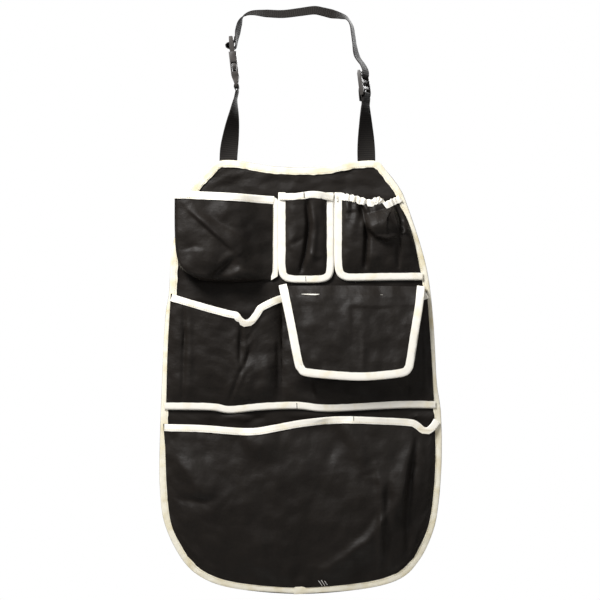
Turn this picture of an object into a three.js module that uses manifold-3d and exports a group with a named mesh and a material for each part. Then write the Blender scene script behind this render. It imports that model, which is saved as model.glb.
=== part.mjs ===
// Hanging garden tool bag: a soft panel with bound pockets, held by two webbing tabs and a neck strap.
// Millimetres, +Z up, pockets face -Y. The origin is the underside of the strap, where the bag hangs.
import * as THREE from "three";
import { ConvexGeometry } from "three/addons/geometries/ConvexGeometry.js";
import { mergeVertices } from "three/addons/utils/BufferGeometryUtils.js";
import Module from "manifold-3d";

const wasm = await Module();
wasm.setup();

// ---------- Driving dimensions ----------

const GAP = 0.3; // clearance between pieces that touch on the real bag
const FABRIC = 1.5; // coated polyester with its backing
const TAPE = { width: 11, thickness: 1.2 }; // cream binding, folded round an edge
const WEBBING = { width: 25, thickness: 1.3 };
const PATCH = { width: 30, height: 40, thickness: 1.3 }; // hook-and-loop
const ELASTIC = { width: 6, thickness: 0.8 };

const FACE = FABRIC / 2; // the panel lies on y = 0, so its faces are at +-FACE
const SEWN = -(FACE + GAP); // where a pocket meets the panel's front
const TAPE_OUT = FACE + GAP + TAPE.thickness; // how far the panel's binding stands off y = 0

// The right half of the panel's outer edge, from the top centre to the bottom centre: Bezier curves in x, z.
const HALF_EDGE = [
  { from: [0, -212], by: [[45, -212], [62, -203.5]], to: [104, -204.5], steps: 7 },
  { from: [104, -204.5], by: [[109, -205], [113, -209]], to: [120, -218], steps: 2 },
  { from: [120, -218], by: [[145, -246], [172, -305]], to: [186, -380], steps: 9 },
  { from: [186, -380], by: [[189, -440], [199, -530]], to: [200, -600], steps: 6 },
  { from: [200, -600], by: [[201, -768], [170, -813]], to: [0, -813], steps: 16 },
];

// The webbing tabs: their centres on the panel, how far down they are sewn and how far behind it they lie.
const TAB = { left: -100.8, right: 93.5, foot: -216, y: 2.5, hold: -203, bend: -200 };
// The fittings stand on their lowest bars. They lean sideways and are turned so that a side faces forward.
const BUCKLE = { at: [-89, 0, -99], lean: 6.5, turn: -90, width: 33, socket: 50, end: 72 };
const LOCK = { at: [92, 0, -109.5], lean: 7.7, turn: -111, width: 33, length: 35 };

// ---------- Solids ----------

function solid(geometry) {
  const bare = geometry.index ? geometry.toNonIndexed() : geometry.clone();
  const open = new THREE.BufferGeometry().setAttribute("position", bare.getAttribute("position"));
  const merged = mergeVertices(open, 1e-4);
  const vertProperties = merged.attributes.position.array;
  const triVerts = new Uint32Array(merged.index.array);
  return new wasm.Manifold(new wasm.Mesh({ numProp: 3, vertProperties, triVerts }));
}

function geometryOf(made) {
  const mesh = made.getMesh();
  return new THREE.BufferGeometry()
    .setAttribute("position", new THREE.BufferAttribute(mesh.vertProperties, 3))
    .setIndex(new THREE.BufferAttribute(mesh.triVerts, 1));
}

const join = (first, ...rest) => rest.reduce((a, b) => a.add(b), first);
const cut = (first, ...rest) => rest.reduce((a, b) => a.subtract(b), first);
const common = (first, ...rest) => rest.reduce((a, b) => a.intersect(b), first);

const toShape = (points) => new THREE.Shape(points.map(([a, b]) => new THREE.Vector2(a, b)));

function prism(points, depth) {
  return new THREE.ExtrudeGeometry(toShape(points), { depth, bevelEnabled: false });
}

// A front-view outline in x, z, from y = front back to y = back.
function prismY(points, front, back) {
  return solid(prism(points, back - front).rotateX(Math.PI / 2).translate(0, back, 0));
}

// A side-view outline in y, z, from x = left to x = right.
function prismX(points, left, right) {
  const turned = new THREE.Matrix4().set(0, 0, 1, left, 1, 0, 0, 0, 0, 1, 0, 0, 0, 0, 0, 1);
  return solid(prism(points, right - left).applyMatrix4(turned));
}

function box([x0, x1], [y0, y1], [z0, z1]) {
  const block = new THREE.BoxGeometry(x1 - x0, y1 - y0, z1 - z0);
  return solid(block.translate((x0 + x1) / 2, (y0 + y1) / 2, (z0 + z1) / 2));
}

// ---------- Outlines ----------

function halfEdge() {
  const points = [];
  for (const { from, by, to, steps } of HALF_EDGE) {
    const controls = [from, ...by, to].map((p) => new THREE.Vector2(...p));
    const curve = new THREE.CubicBezierCurve(...controls);
    points.push(...curve.getPoints(steps).slice(0, -1));
  }
  return [...points.map((p) => [p.x, p.y]), HALF_EDGE.at(-1).to];
}

function panelEdge() {
  const right = halfEdge();
  const left = right.slice(1, -1).reverse().map(([x, z]) => [-x, z]);
  return [...right, ...left];
}

// The same closed outline moved inwards by distance (outwards if it is negative).
function inset(points, distance) {
  const area = points.reduce((sum, [x, y], i) => {
    const [nextX, nextY] = points[(i + 1) % points.length];
    return sum + x * nextY - nextX * y;
  }, 0);
  const side = Math.sign(area) * distance;
  return points.map(([x, y], i) => {
    const before = new THREE.Vector2(...points[(i + points.length - 1) % points.length]);
    const after = new THREE.Vector2(...points[(i + 1) % points.length]);
    const into = new THREE.Vector2(x, y).sub(before).normalize();
    const out = after.sub(new THREE.Vector2(x, y)).normalize();
    const bisector = new THREE.Vector2(-into.y - out.y, into.x + out.x).normalize();
    const miter = side / Math.max(0.3, -into.y * bisector.x + into.x * bisector.y);
    return [x + bisector.x * miter, y + bisector.y * miter];
  });
}

// A sheet of the given half thickness along an open line in y, z.
function sheetProfile(line, half) {
  const offset = (side) =>
    line.map(([y, z], i) => {
      const [y0, z0] = line[Math.max(0, i - 1)];
      const [y1, z1] = line[Math.min(line.length - 1, i + 1)];
      const along = new THREE.Vector2(y1 - y0, z1 - z0).normalize();
      return [y - along.y * side * half, z + along.x * side * half];
    });
  return [...offset(1), ...offset(-1).reverse()];
}

// The area below a line in x, z, down to z = base.
const below = (line, base) => [...line, [line.at(-1)[0], base], [line[0][0], base]];
// A strip that hangs from a line in x, z.
function hanging(line, raise, drop) {
  return [...line.map(([x, z]) => [x, z + raise]), ...line.map(([x, z]) => [x, z - drop]).reverse()];
}

// ---------- Panel and its binding ----------

const EDGE = panelEdge();
const INSIDE = TAPE.width + GAP; // pockets that end under the binding stop here
const TALL = 60; // longer than any pocket is deep

function backPanel() {
  return prismY(inset(EDGE, TAPE.thickness + GAP), -FACE, FACE);
}

// The binding's back stands off where it holds a tab's foot.
function tabHold(x, extra) {
  const half = WEBBING.width / 2 + extra;
  const back = TAB.y + WEBBING.thickness + extra;
  return box([x - half, x + half], [FACE, back], [TAB.foot - extra, TAB.hold]);
}

function panelBinding() {
  const ring = cut(
    prismY(EDGE, -TAPE_OUT, TAPE_OUT),
    prismY(inset(EDGE, TAPE.width), -TALL, TALL),
  );
  const holds = [TAB.left, TAB.right].map((x) => {
    const cap = tabHold(x, GAP + TAPE.thickness);
    return common(cap, prismY(EDGE, -TALL, TALL));
  });
  const slots = [TAB.left, TAB.right].map((x) => {
    const half = WEBBING.width / 2 + GAP;
    const depth = TAB.y + WEBBING.thickness + GAP;
    return box([x - half, x + half], [0, depth], [TAB.foot - 5, TAB.hold + TAPE.width]);
  });
  const sandwich = prismY(inset(EDGE, TAPE.thickness), -(FACE + GAP), FACE + GAP);
  return cut(join(ring, ...holds), sandwich, ...slots);
}

// ---------- Pockets ----------

// A pocket sewn to the panel by its sides and base. Its mouth is a line in x, z and its front a line in y, z.
function pocket(mouth, front, clipped) {
  const [left, right, base] = [mouth[0][0], mouth.at(-1)[0], front.at(-1)[1]];
  const outerSide = [[SEWN, 0], [front[0][0], 0], ...front, [SEWN, base]];
  const inward = front.map(([y, z]) => [y + FABRIC, z]);
  inward[inward.length - 1][1] += FABRIC;
  const innerSide = [[FACE, 0], [inward[0][0], 0], ...inward, [FACE, base + FABRIC]];
  const outer = [prismY(below(mouth, base - 1), -TALL, SEWN), prismX(outerSide, left, right)];
  const inner = [prismX(innerSide, left + FABRIC, right - FABRIC)];
  if (clipped) {
    outer.push(prismY(inset(EDGE, INSIDE), -TALL, SEWN));
    inner.push(prismY(inset(EDGE, INSIDE + FABRIC), -TALL, FACE));
  }
  return cut(common(...outer), common(...inner));
}

// Tape folded over a pocket's mouth, just inside its side walls.
function mouthBinding(mouth, y, clipped, inner = 0) {
  const trimmed = mouth.map(([x, z], i) => {
    const inwards = FABRIC + GAP;
    return [i === 0 ? x + inwards : i === mouth.length - 1 ? x - inwards : x, z];
  });
  const fold = GAP + TAPE.thickness;
  const strip = hanging(trimmed, fold, TAPE.width - fold);
  const whole = prismY(strip, y - fold - inner, y + FABRIC + fold);
  const slot = prismY(hanging(mouth, GAP, 2 * TAPE.width), y - GAP - inner, y + FABRIC + GAP);
  const made = cut(whole, slot);
  return clipped ? common(made, prismY(inset(EDGE, INSIDE + FABRIC + GAP), -TALL, TALL)) : made;
}

// Flat tape over a pocket's sewn flange.
function flatTape(points, y = SEWN - FABRIC - GAP) {
  return prismY(points, y - TAPE.thickness, y);
}
const flange = (points) => prismY(points, SEWN - FABRIC, SEWN);
const upright = (x0, x1, z0, z1) => [[x0, z0], [x1, z0], [x1, z1], [x0, z1]];

// Top left: a bellows pocket that overhangs the shoulder. Its walls run between a full front and the seam.
const TOP_LEFT = { seam: -40, edge: -31, mouth: -250, base: -372 };
const TOP_LEFT_HULL = [
  [-176, -26, -248], [-40, -17, -255], [-40, SEWN, -255], [-134, SEWN, -248],
  [-175, -33, -318], [-168, -36, -345], [-150, -34, -364], [-62, -31, -350],
  [-70, -28, -370], [-44, -16, -366], [-171, SEWN, -352], [-158, SEWN, -368], [-40, SEWN, -372],
];

function hull(points) {
  return solid(new ConvexGeometry(points.map((p) => new THREE.Vector3(...p))));
}

function panelBindingKeepout() {
  const reach = TAPE_OUT + GAP;
  return cut(
    prismY(inset(EDGE, -GAP), -reach, reach),
    prismY(inset(EDGE, INSIDE), -TALL, TALL),
  );
}

function topLeftPocket() {
  const middle = [-108, -15, -315];
  const mouthLevel = -256;
  const hollow = TOP_LEFT_HULL.map(([x, y, z]) => [
    x + FABRIC * Math.sign(middle[0] - x),
    y === SEWN ? FACE : y + FABRIC,
    z > mouthLevel ? z + FABRIC * 4 : z + FABRIC,
  ]);
  const { seam, edge, base } = TOP_LEFT;
  const sewnEdge = flange(upright(seam - 1, edge - 2, base, mouthLevel));
  return cut(join(hull(TOP_LEFT_HULL), sewnEdge), hull(hollow), panelBindingKeepout());
}

const SLANT = 9; // how much of the mouth its slanting left wall takes
const TOP_LEFT_MOUTH = { slope: 7 / 136, front: [-176, -26], end: [-40, -17], top: -248 };

// A strip along the leaning mouth: built flat, then turned to lie on the front between the two mouth corners.
function topLeftMouthBinding() {
  const { slope, front, end, top } = TOP_LEFT_MOUTH;
  const run = Math.hypot(end[0] - front[0], end[1] - front[1]);
  const line = [[SLANT, 0], [run - 2 * FABRIC, 0]];
  const fold = GAP + TAPE.thickness;
  const strip = cut(
    prismY(hanging(line, fold, 6), -fold - 1, FABRIC + fold),
    prismY(hanging([[-5, 0], [run + 5, 0]], GAP, 20), -GAP - 1, FABRIC + GAP),
  );
  const heading = Math.atan2(end[1] - front[1], end[0] - front[0]);
  const place = new THREE.Matrix4().makeRotationFromEuler(new THREE.Euler(0, Math.atan(slope), heading));
  place.setPosition(...front, top);
  return solid(geometryOf(strip).applyMatrix4(place));
}

function topLeftSideBinding() {
  const { seam, edge, mouth, base } = TOP_LEFT;
  return flatTape(upright(seam + GAP, edge, base, mouth - 6));
}

// Top middle: two narrow slots side by side, framed by tape.
const SLOTS = { left: -20, right: 37, middle: 8.4, top: -247, base: -363, depth: 12, tape: 10 };

function topMiddlePocket() {
  const { left, right, middle, top, base, depth, tape } = SLOTS;
  const front = [[-depth, top], [-depth, base + 18], [-depth * 0.6, base + 4], [SEWN - FABRIC, base]];
  const sleeves = [[left, middle - 1], [middle + 1, right]].map(([x0, x1]) =>
    pocket([[x0, top], [x1, top]], front, false),
  );
  const frame = cut(
    flange(upright(left - tape + 1, right + tape - 1, base - tape + 1, top)),
    prismY(upright(left + 1, middle - 2, base + 2, 0), -TALL, FACE),
    prismY(upright(middle + 2, right - 1, base + 2, 0), -TALL, FACE),
  );
  return join(...sleeves, frame);
}

function topMiddleFrameBinding() {
  const { left, right, top, base, tape } = SLOTS;
  const outer = new THREE.Shape();
  const corner = 14;
  const [x0, x1, z0] = [left - tape, right + tape, base - tape];
  outer.moveTo(x0, top).lineTo(x0, z0 + corner).quadraticCurveTo(x0, z0, x0 + corner, z0);
  outer.lineTo(x1 - corner, z0).quadraticCurveTo(x1, z0, x1, z0 + corner).lineTo(x1, top);
  const outline = outer.getPoints(5).map((p) => [p.x, p.y]);
  return cut(flatTape(outline), prismY(upright(left - GAP, right + GAP, base - GAP, 0), -TALL, FACE));
}

// The tape's inner leaf is notched where the slots' walls stand.
function topMiddleMouthBinding() {
  const { left, middle, right, top, depth } = SLOTS;
  const notch = box([middle - 3, middle + 3], [-depth - GAP, 0], [top - 30, top + GAP]);
  return cut(mouthBinding([[left, top], [right, top]], -depth, false), notch);
}

// Top right: an elasticated pocket that ends under the panel's binding.
const GATHERED = { left: 59, edge: 49, right: 180, base: -361, y: -16 };
const GATHERED_MOUTH = [[GATHERED.left, -250], [96, -257], [GATHERED.right, -256]];
const GATHERED_FRONT = [
  [GATHERED.y, -240], [GATHERED.y, -272], [-21, -310], [-19, -345], [-6, GATHERED.base],
];

function topRightPocket() {
  const { left, edge, right, base } = GATHERED;
  const sewnEdge = common(
    join(
      flange(upright(edge + 1, left + 1, base - 9, GATHERED_MOUTH[0][1])),
      flange(upright(edge + 1, right, base - 9, base + 1)),
    ),
    prismY(inset(EDGE, INSIDE), -TALL, TALL),
  );
  return join(pocket(GATHERED_MOUTH, GATHERED_FRONT, true), sewnEdge);
}

function topRightEdgeBinding() {
  const { left, edge, right, base } = GATHERED;
  const sides = join(
    flatTape(upright(edge, left - GAP, base - 10, -248)),
    flatTape(upright(edge, right, base - 10, base - GAP)),
  );
  return common(sides, prismY(inset(EDGE, INSIDE), -TALL, TALL));
}

function topRightMouthBinding() {
  return mouthBinding(GATHERED_MOUTH, GATHERED.y, true, ELASTIC.thickness + GAP);
}

function mouthElastic() {
  const line = GATHERED_MOUTH.map(([x, z], i) => [i === 0 ? x + FABRIC + GAP : x, z - 2]);
  const front = GATHERED.y - GAP - ELASTIC.thickness;
  const band = prismY(hanging(line, 0, ELASTIC.width), front, GATHERED.y - GAP);
  return common(band, prismY(inset(EDGE, INSIDE + FABRIC + 2 * GAP), -TALL, TALL));
}

// Middle: one pleated strip, stitched down between its two pockets.
const MIDDLE = { left: -182, divider: -22.4, right: 182, base: -546, leftY: -12, rightY: -11 };
const MIDDLE_LEFT_MOUTH = [[MIDDLE.left, -393], [-75.6, -424], [MIDDLE.divider - 1.5, -398]];
const MIDDLE_RIGHT_MOUTH = [[MIDDLE.divider + 1.5, -392], [MIDDLE.right, -392]];
const MIDDLE_LEFT_FRONT = [
  [MIDDLE.leftY, -380], [MIDDLE.leftY, -436], [-17, -484], [-17, -510], [-9, -535], [-3, MIDDLE.base],
];
const MIDDLE_RIGHT_FRONT = [
  [MIDDLE.rightY, -380], [MIDDLE.rightY, -404], [-19, -436], [-19, -510], [-9, -538], [-3, MIDDLE.base],
];

function middlePocket() {
  const { divider, base, right, left } = MIDDLE;
  const seam = flange(upright(divider - 3, divider + 3, base, -400));
  const hem = common(
    flange(upright(left, right, base - 4, base + 1)),
    prismY(inset(EDGE, INSIDE), -TALL, TALL),
  );
  return join(
    pocket(MIDDLE_LEFT_MOUTH, MIDDLE_LEFT_FRONT, true),
    pocket(MIDDLE_RIGHT_MOUTH, MIDDLE_RIGHT_FRONT, true),
    seam,
    hem,
  );
}

const middleLeftMouthBinding = () => mouthBinding(MIDDLE_LEFT_MOUTH, MIDDLE.leftY, true);
const middleRightMouthBinding = () => mouthBinding(MIDDLE_RIGHT_MOUTH, MIDDLE.rightY, true);

function middleBaseBinding() {
  const strip = flatTape(upright(MIDDLE.left - 10, MIDDLE.right + 10, MIDDLE.base - 10, MIDDLE.base - GAP));
  return common(strip, prismY(inset(EDGE, INSIDE), -TALL, TALL));
}

// Bottom: one large pocket whose sides and base are caught in the panel's binding.
const BOTTOM_MOUTH = [[-195, -576], [-74, -582], [63, -566], [195, -571]];
const BOTTOM_FRONT = [[-15, -560], [-15, -600], [-20, -690], [-14, -765], [-4, -803]];

const bottomPocket = () => pocket(BOTTOM_MOUTH, BOTTOM_FRONT, true);
const bottomMouthBinding = () => mouthBinding(BOTTOM_MOUTH, BOTTOM_FRONT[0][0], true);

// ---------- Flap over the middle right pocket ----------

const FLAP_LINE = [[-4.4, -375.5], [-16.2, -391], [-24, -430], [-24, -520]]; // its middle, from the seam down

function flapEdge() {
  const edge = new THREE.Shape();
  edge.moveTo(173.4, -378.5).lineTo(158, -490).quadraticCurveTo(156, -501, 146, -503);
  edge.quadraticCurveTo(78, -515, 8, -503).quadraticCurveTo(-2, -501, -5, -488).lineTo(-29, -378.5);
  return edge.getPoints(6).map((p) => [p.x, p.y]);
}

function flapLayer(distance, half) {
  const wide = 250;
  const profile = prismX(sheetProfile(FLAP_LINE, half), -wide, wide);
  return common(prismY(inset(flapEdge(), distance), -TALL, 0), profile);
}

const flap = () => flapLayer(TAPE.thickness + GAP, FACE);

function flapBinding() {
  const [seamLow, overSeam] = [-390, -340]; // the top edge has no tape, so the cut runs up past it
  const inside = inset(flapEdge(), TAPE.width).map(([x, z]) => [x, z > seamLow ? overSeam : z]);
  const sandwich = flapLayer(TAPE.thickness, FACE + GAP);
  return cut(flapLayer(0, TAPE_OUT), prismY(inside, -TALL, TALL), sandwich);
}

const PATCH_AT = { x: 77, top: -449 };
const patch = (front) =>
  box(
    [PATCH_AT.x - PATCH.width / 2, PATCH_AT.x + PATCH.width / 2],
    [front, front + PATCH.thickness],
    [PATCH_AT.top - PATCH.height, PATCH_AT.top],
  );
const loopPatch = () => patch(MIDDLE_RIGHT_FRONT[2][0] - GAP - PATCH.thickness);
const hookPatch = () => patch(FLAP_LINE.at(-1)[0] + FACE + GAP);

// ---------- Webbing ----------

// A flat band along a curve. Each stop is a place on the curve and which way the band's width points there.
function band(points, stops, thickness, steps) {
  const places = points.map((p) => new THREE.Vector3(...p));
  const curve = new THREE.CatmullRomCurve3(places, false, "centripetal");
  curve.arcLengthDivisions = 1000;
  const strip = new THREE.BoxGeometry(WEBBING.width, thickness, 1, 1, 1, steps);
  const place = strip.attributes.position;
  for (let i = 0; i < place.count; i++) {
    const along = place.getZ(i) + 0.5;
    const tangent = curve.getTangentAt(along);
    const next = stops.findIndex(([at]) => at >= along);
    const [a, b] = [stops[Math.max(0, next - 1)], stops[Math.max(0, next)]];
    const share = b[0] > a[0] ? (along - a[0]) / (b[0] - a[0]) : 0;
    const width = new THREE.Vector3(...a[1]).lerp(new THREE.Vector3(...b[1]), share);
    width.addScaledVector(tangent, -width.dot(tangent)).normalize();
    const normal = new THREE.Vector3().crossVectors(tangent, width);
    const at = curve.getPointAt(along);
    at.addScaledVector(width, place.getX(i)).addScaledVector(normal, place.getY(i));
    place.setXYZ(i, at.x, at.y, at.z);
  }
  return solid(strip);
}

const degrees = THREE.MathUtils.degToRad;
const across = (angle) => [Math.cos(degrees(angle)), Math.sin(degrees(angle)), 0];
const turning = (stops) => stops.map(([at, angle]) => [at, across(angle)]);

// A fitting's own frame: x across its width, y through its thickness, z along its length.
function frameOf({ at, lean, turn }) {
  const turned = new THREE.Matrix4().makeRotationZ(degrees(turn));
  const leaned = new THREE.Matrix4().makeRotationX(degrees(lean));
  return new THREE.Matrix4().setPosition(...at).multiply(turned).multiply(leaned);
}
const place = (made, fitting) => solid(geometryOf(made).applyMatrix4(frameOf(fitting)));
const inFitting = (fitting, through, along) =>
  new THREE.Vector3(0, through, along).applyMatrix4(frameOf(fitting)).toArray();

// The eye of a doubled tab, round a fitting's lowest bar.
function tabEye(fitting) {
  const [half, low, high] = [2 + GAP, -GAP, 3.5 + GAP];
  const wall = WEBBING.thickness;
  const chin = [[-half - wall, low - 0.4], [0, low - 2.4], [half + wall, low - 0.4]];
  const crown = [[half + wall, high], [half, high + wall], [-half, high + wall], [-half - wall, high]];
  const outer = [...chin, ...crown];
  const inner = [[-half, low], [half, low], [half, high], [-half, high]];
  const side = WEBBING.width / 2;
  return place(cut(prismX(outer, -side, side), prismX(inner, -side - 1, side + 1)), fitting);
}

// A doubled tab climbs from its foot to a fitting, turning from flat on the panel to side on.
function tab(x, climb, fitting, stops) {
  const foot = [[x, TAB.y, TAB.foot], [x, TAB.y, TAB.bend]];
  const path = [...foot, ...climb, inFitting(fitting, 0, -2)];
  return join(band(path, turning(stops), 2 * WEBBING.thickness, 20), tabEye(fitting));
}

function leftTab() {
  const climb = [[-98, 2, -172], [-93.5, 0.5, -140], [-91, 0, -118]];
  const stops = [[0, 180], [0.14, 180], [0.22, 186], [0.45, 222], [0.75, 252], [1, 270]];
  return tab(TAB.left, climb, BUCKLE, stops);
}

function rightTab() {
  const climb = [[93, 1.5, -170], [92, 0.5, -145]];
  const stops = [[0, 180], [0.15, 180], [0.25, 186], [0.6, 222], [0.85, 245], [1, 249]];
  return tab(TAB.right, climb, LOCK, stops);
}

function topStrap() {
  const inBuckle = [
    [5.4, 79], [5, 70], [4.3, 66.4], [3, 64], [0, 63.2], [-4.2, 62.8], [-7.6, 59],
    [-4.6, 55.4], [0, 55.5], [4.6, 56], [8, 60.5], [9.8, 66],
  ];
  const overTop = [
    [-83, 0, -8], [-76, 0, 2], [-64, 0, 6.2], [-28, 0, 4.6], [0, 0, 4.9],
    [28, 0, 8.4], [50, 0, 6.4], [66, 0, 0], [73.5, 0, -14], [77, 0, -34],
  ];
  const inLock = [
    [-2.6, 50], [2, 43], [4.8, 36], [4.9, 31], [3.6, 26.4],
    [0, 24.8], [-3.6, 23.4], [-5.4, 18], [-5.6, 6], [-5.8, -8],
  ];
  const path = [
    ...inBuckle.map(([y, z]) => inFitting(BUCKLE, y, z)),
    ...overTop,
    ...inLock.map(([y, z]) => inFitting(LOCK, y, z)),
  ];
  const [front, drooping] = [[0, -1, 0], [0, -0.88, -0.47]];
  const rising = [[0, front], [0.38, front], [0.5, drooping], [0.64, drooping]];
  const falling = turning([[0.74, 255], [0.8, 249], [1, 249]]);
  return band(path, [...rising, ...falling], WEBBING.thickness, 110);
}

// ---------- Buckle and strap lock ----------

const RAIL = 13.2; // half the clear width between a fitting's rails
const mirrored = (range, side) => range.map((x) => x * side).sort((a, b) => a - b);

function socket() {
  const { width, socket: mouth } = BUCKLE;
  const right = [[2, 0], [2, 3.5], [3, 8.5], [5.2, 17], [5.2, mouth]];
  const side = [...right, ...right.map(([y, z]) => [-y, z]).reverse()];
  const half = width / 2;
  const front = new THREE.Shape();
  front.moveTo(-half + 4, 0).lineTo(half - 4, 0).quadraticCurveTo(half, 0, half, 4).lineTo(half - 1.2, 14);
  front.lineTo(half, 18).lineTo(half, mouth).lineTo(-half, mouth).lineTo(-half, 18).lineTo(-half + 1.2, 14);
  front.lineTo(-half, 4).quadraticCurveTo(-half, 0, -half + 4, 0);
  const outline = front.getPoints(4).map((p) => [p.x, p.y]);
  const body = common(prismX(side, -half, half), prismY(outline, -TALL, TALL));
  const hollow = box([-13.5, 13.5], [-3.5, 3.5], [12, mouth + 1]);
  const windows = [-1, 1].map((end) => box(mirrored([11, 20], end), [-3.4, 3.4], [21.8, 35.4]));
  const slot = box([-RAIL, RAIL], [-TALL, TALL], [3.5, 8.5]);
  return cut(body, hollow, ...windows, slot);
}

function plug() {
  const { width, socket: mouth, end } = BUCKLE;
  const half = width / 2;
  const right = [[3.3, mouth + GAP], [3.2, 62], [2.7, end - 1], [1.7, end]];
  const side = [...right, ...right.map(([y, z]) => [-y, z]).reverse()];
  const shoulders = [[half, end - 4], [half - 3, end], [-half + 3, end], [-half, end - 4]];
  const front = [[-half, mouth], [half, mouth], ...shoulders];
  const ladder = common(prismX(side, -half, half), prismY(front, -TALL, TALL));
  const collar = box([-RAIL, RAIL], [-3.2, 3.2], [44, mouth + 1]);
  const guide = box([-2.6, 2.6], [-2.4, 2.4], [24, 45]);
  const slots = [[53.5, 57.5], [61, 65.5]].map((z) => box([-RAIL, RAIL], [-TALL, TALL], z));
  return cut(join(ladder, collar, guide), ...slots);
}

// One springy arm of the plug, on the side given by end (1 or -1).
function prong(end) {
  const outline = [
    [8.2, 43.5], [10.8, 43.5], [11, 35.4], [14.7, 34.6], [15.6, 29], [13.4, 23.8], [10.6, 22.6], [8.4, 24],
  ];
  return prismY(outline.map(([x, z]) => [x * end, z]), -2.6, 2.6);
}

function ladderLock() {
  const { width, length } = LOCK;
  const front = [[-1.8, 0], [1.8, 0], [3, 4], [3.2, 17], [2.6, 30], [1.2, length]];
  const rail = [...front, [-1.2, length], [-2.6, 30], [-3, 17], [-2.8, 4]];
  const rails = [-1, 1].map((end) => prismX(rail, ...mirrored([RAIL, width / 2], end)));
  const bars = [
    [[-2, 0], [2, 0], [2, 3.5], [-2, 3.5]],
    [[-1.8, 8.6], [2.6, 8.2], [2.8, 12], [-1.6, 12.4]],
    [[-2, 17.6], [1.8, 17.2], [2.2, 21.2], [-1.8, 21.4]],
    [[-2, 28.4], [2.4, 28], [2.2, 33], [0, 34.6], [-1.6, 33.6]],
  ];
  return join(...rails, ...bars.map((bar) => prismX(bar, -RAIL - 0.5, RAIL + 0.5)));
}

// ---------- Assembly ----------

const MATERIALS = {
  fabric: new THREE.MeshStandardMaterial({ color: 0x191718, roughness: 0.85, metalness: 0 }),
  tape: new THREE.MeshStandardMaterial({ color: 0xf3eedb, roughness: 0.8, metalness: 0 }),
  webbing: new THREE.MeshStandardMaterial({ color: 0x1b1a19, roughness: 0.75, metalness: 0 }),
  plastic: new THREE.MeshStandardMaterial({ color: 0x232221, roughness: 0.4, metalness: 0 }),
  hookAndLoop: new THREE.MeshStandardMaterial({ color: 0x141414, roughness: 0.95, metalness: 0 }),
  elastic: new THREE.MeshStandardMaterial({ color: 0xe9e4d2, roughness: 0.8, metalness: 0 }),
};

function mesh(name, made, material) {
  const node = new THREE.Mesh(geometryOf(made), MATERIALS[material]);
  node.name = name;
  return node;
}

function fitted(fitting, ...nodes) {
  const group = new THREE.Group();
  group.applyMatrix4(frameOf(fitting));
  group.add(...nodes);
  return group;
}

const bag = new THREE.Group();
bag.add(
  mesh("back_panel", backPanel(), "fabric"),
  mesh("panel_binding", panelBinding(), "tape"),
  mesh("top_left_pocket", topLeftPocket(), "fabric"),
  mesh("top_left_mouth_binding", topLeftMouthBinding(), "tape"),
  mesh("top_left_side_binding", topLeftSideBinding(), "tape"),
  mesh("top_middle_pocket", topMiddlePocket(), "fabric"),
  mesh("top_middle_frame_binding", topMiddleFrameBinding(), "tape"),
  mesh("top_middle_mouth_binding", topMiddleMouthBinding(), "tape"),
  mesh("top_right_pocket", topRightPocket(), "fabric"),
  mesh("top_right_edge_binding", topRightEdgeBinding(), "tape"),
  mesh("top_right_mouth_binding", topRightMouthBinding(), "tape"),
  mesh("top_right_elastic", mouthElastic(), "elastic"),
  mesh("middle_pocket", middlePocket(), "fabric"),
  mesh("middle_left_mouth_binding", middleLeftMouthBinding(), "tape"),
  mesh("middle_right_mouth_binding", middleRightMouthBinding(), "tape"),
  mesh("middle_base_binding", middleBaseBinding(), "tape"),
  mesh("bottom_pocket", bottomPocket(), "fabric"),
  mesh("bottom_mouth_binding", bottomMouthBinding(), "tape"),
  mesh("flap", flap(), "fabric"),
  mesh("flap_binding", flapBinding(), "tape"),
  mesh("flap_hook_patch", hookPatch(), "hookAndLoop"),
  mesh("pocket_loop_patch", loopPatch(), "hookAndLoop"),
  mesh("left_tab", leftTab(), "webbing"),
  mesh("right_tab", rightTab(), "webbing"),
  mesh("top_strap", topStrap(), "webbing"),
  fitted(
    BUCKLE,
    mesh("buckle_socket", socket(), "plastic"),
    mesh("buckle_plug", plug(), "plastic"),
    mesh("prong_front", prong(1), "plastic"),
    mesh("prong_rear", prong(-1), "plastic"),
  ),
  fitted(LOCK, mesh("ladder_lock", ladderLock(), "plastic")),
);

export default bag;
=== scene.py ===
# %% [markdown]
# # A hanging tool bag in black cloth
# The bag is one flat cloth panel with pockets sewn to it. Every raw edge is covered by cream tape,
# and the bag hangs from a webbing strap with a buckle and a ladder lock. This lesson makes each
# piece of cloth as a grid that is laid out by a formula, folds its tape over the edges, and
# sews it with real stitches. All lengths are millimetres in the tables and metres in Blender.

# %% Load the frame
import math
import bpy
import numpy as np
from mathutils import Matrix, Vector, noise


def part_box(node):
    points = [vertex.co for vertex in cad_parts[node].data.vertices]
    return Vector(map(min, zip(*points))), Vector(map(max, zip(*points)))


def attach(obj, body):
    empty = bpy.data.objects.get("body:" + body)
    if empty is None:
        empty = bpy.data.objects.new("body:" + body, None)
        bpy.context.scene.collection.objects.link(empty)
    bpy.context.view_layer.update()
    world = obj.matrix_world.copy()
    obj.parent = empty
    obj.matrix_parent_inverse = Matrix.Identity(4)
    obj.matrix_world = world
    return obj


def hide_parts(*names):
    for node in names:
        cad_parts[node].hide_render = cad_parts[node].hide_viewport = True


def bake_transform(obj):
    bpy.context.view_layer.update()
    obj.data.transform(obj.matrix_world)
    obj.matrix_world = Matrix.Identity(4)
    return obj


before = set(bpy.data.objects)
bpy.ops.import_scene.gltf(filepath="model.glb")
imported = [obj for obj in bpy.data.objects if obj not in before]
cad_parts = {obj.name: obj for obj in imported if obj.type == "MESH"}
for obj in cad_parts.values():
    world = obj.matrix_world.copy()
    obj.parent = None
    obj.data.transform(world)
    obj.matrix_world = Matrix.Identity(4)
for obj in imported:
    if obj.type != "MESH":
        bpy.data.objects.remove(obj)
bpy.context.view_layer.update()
MM = 0.001

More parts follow.
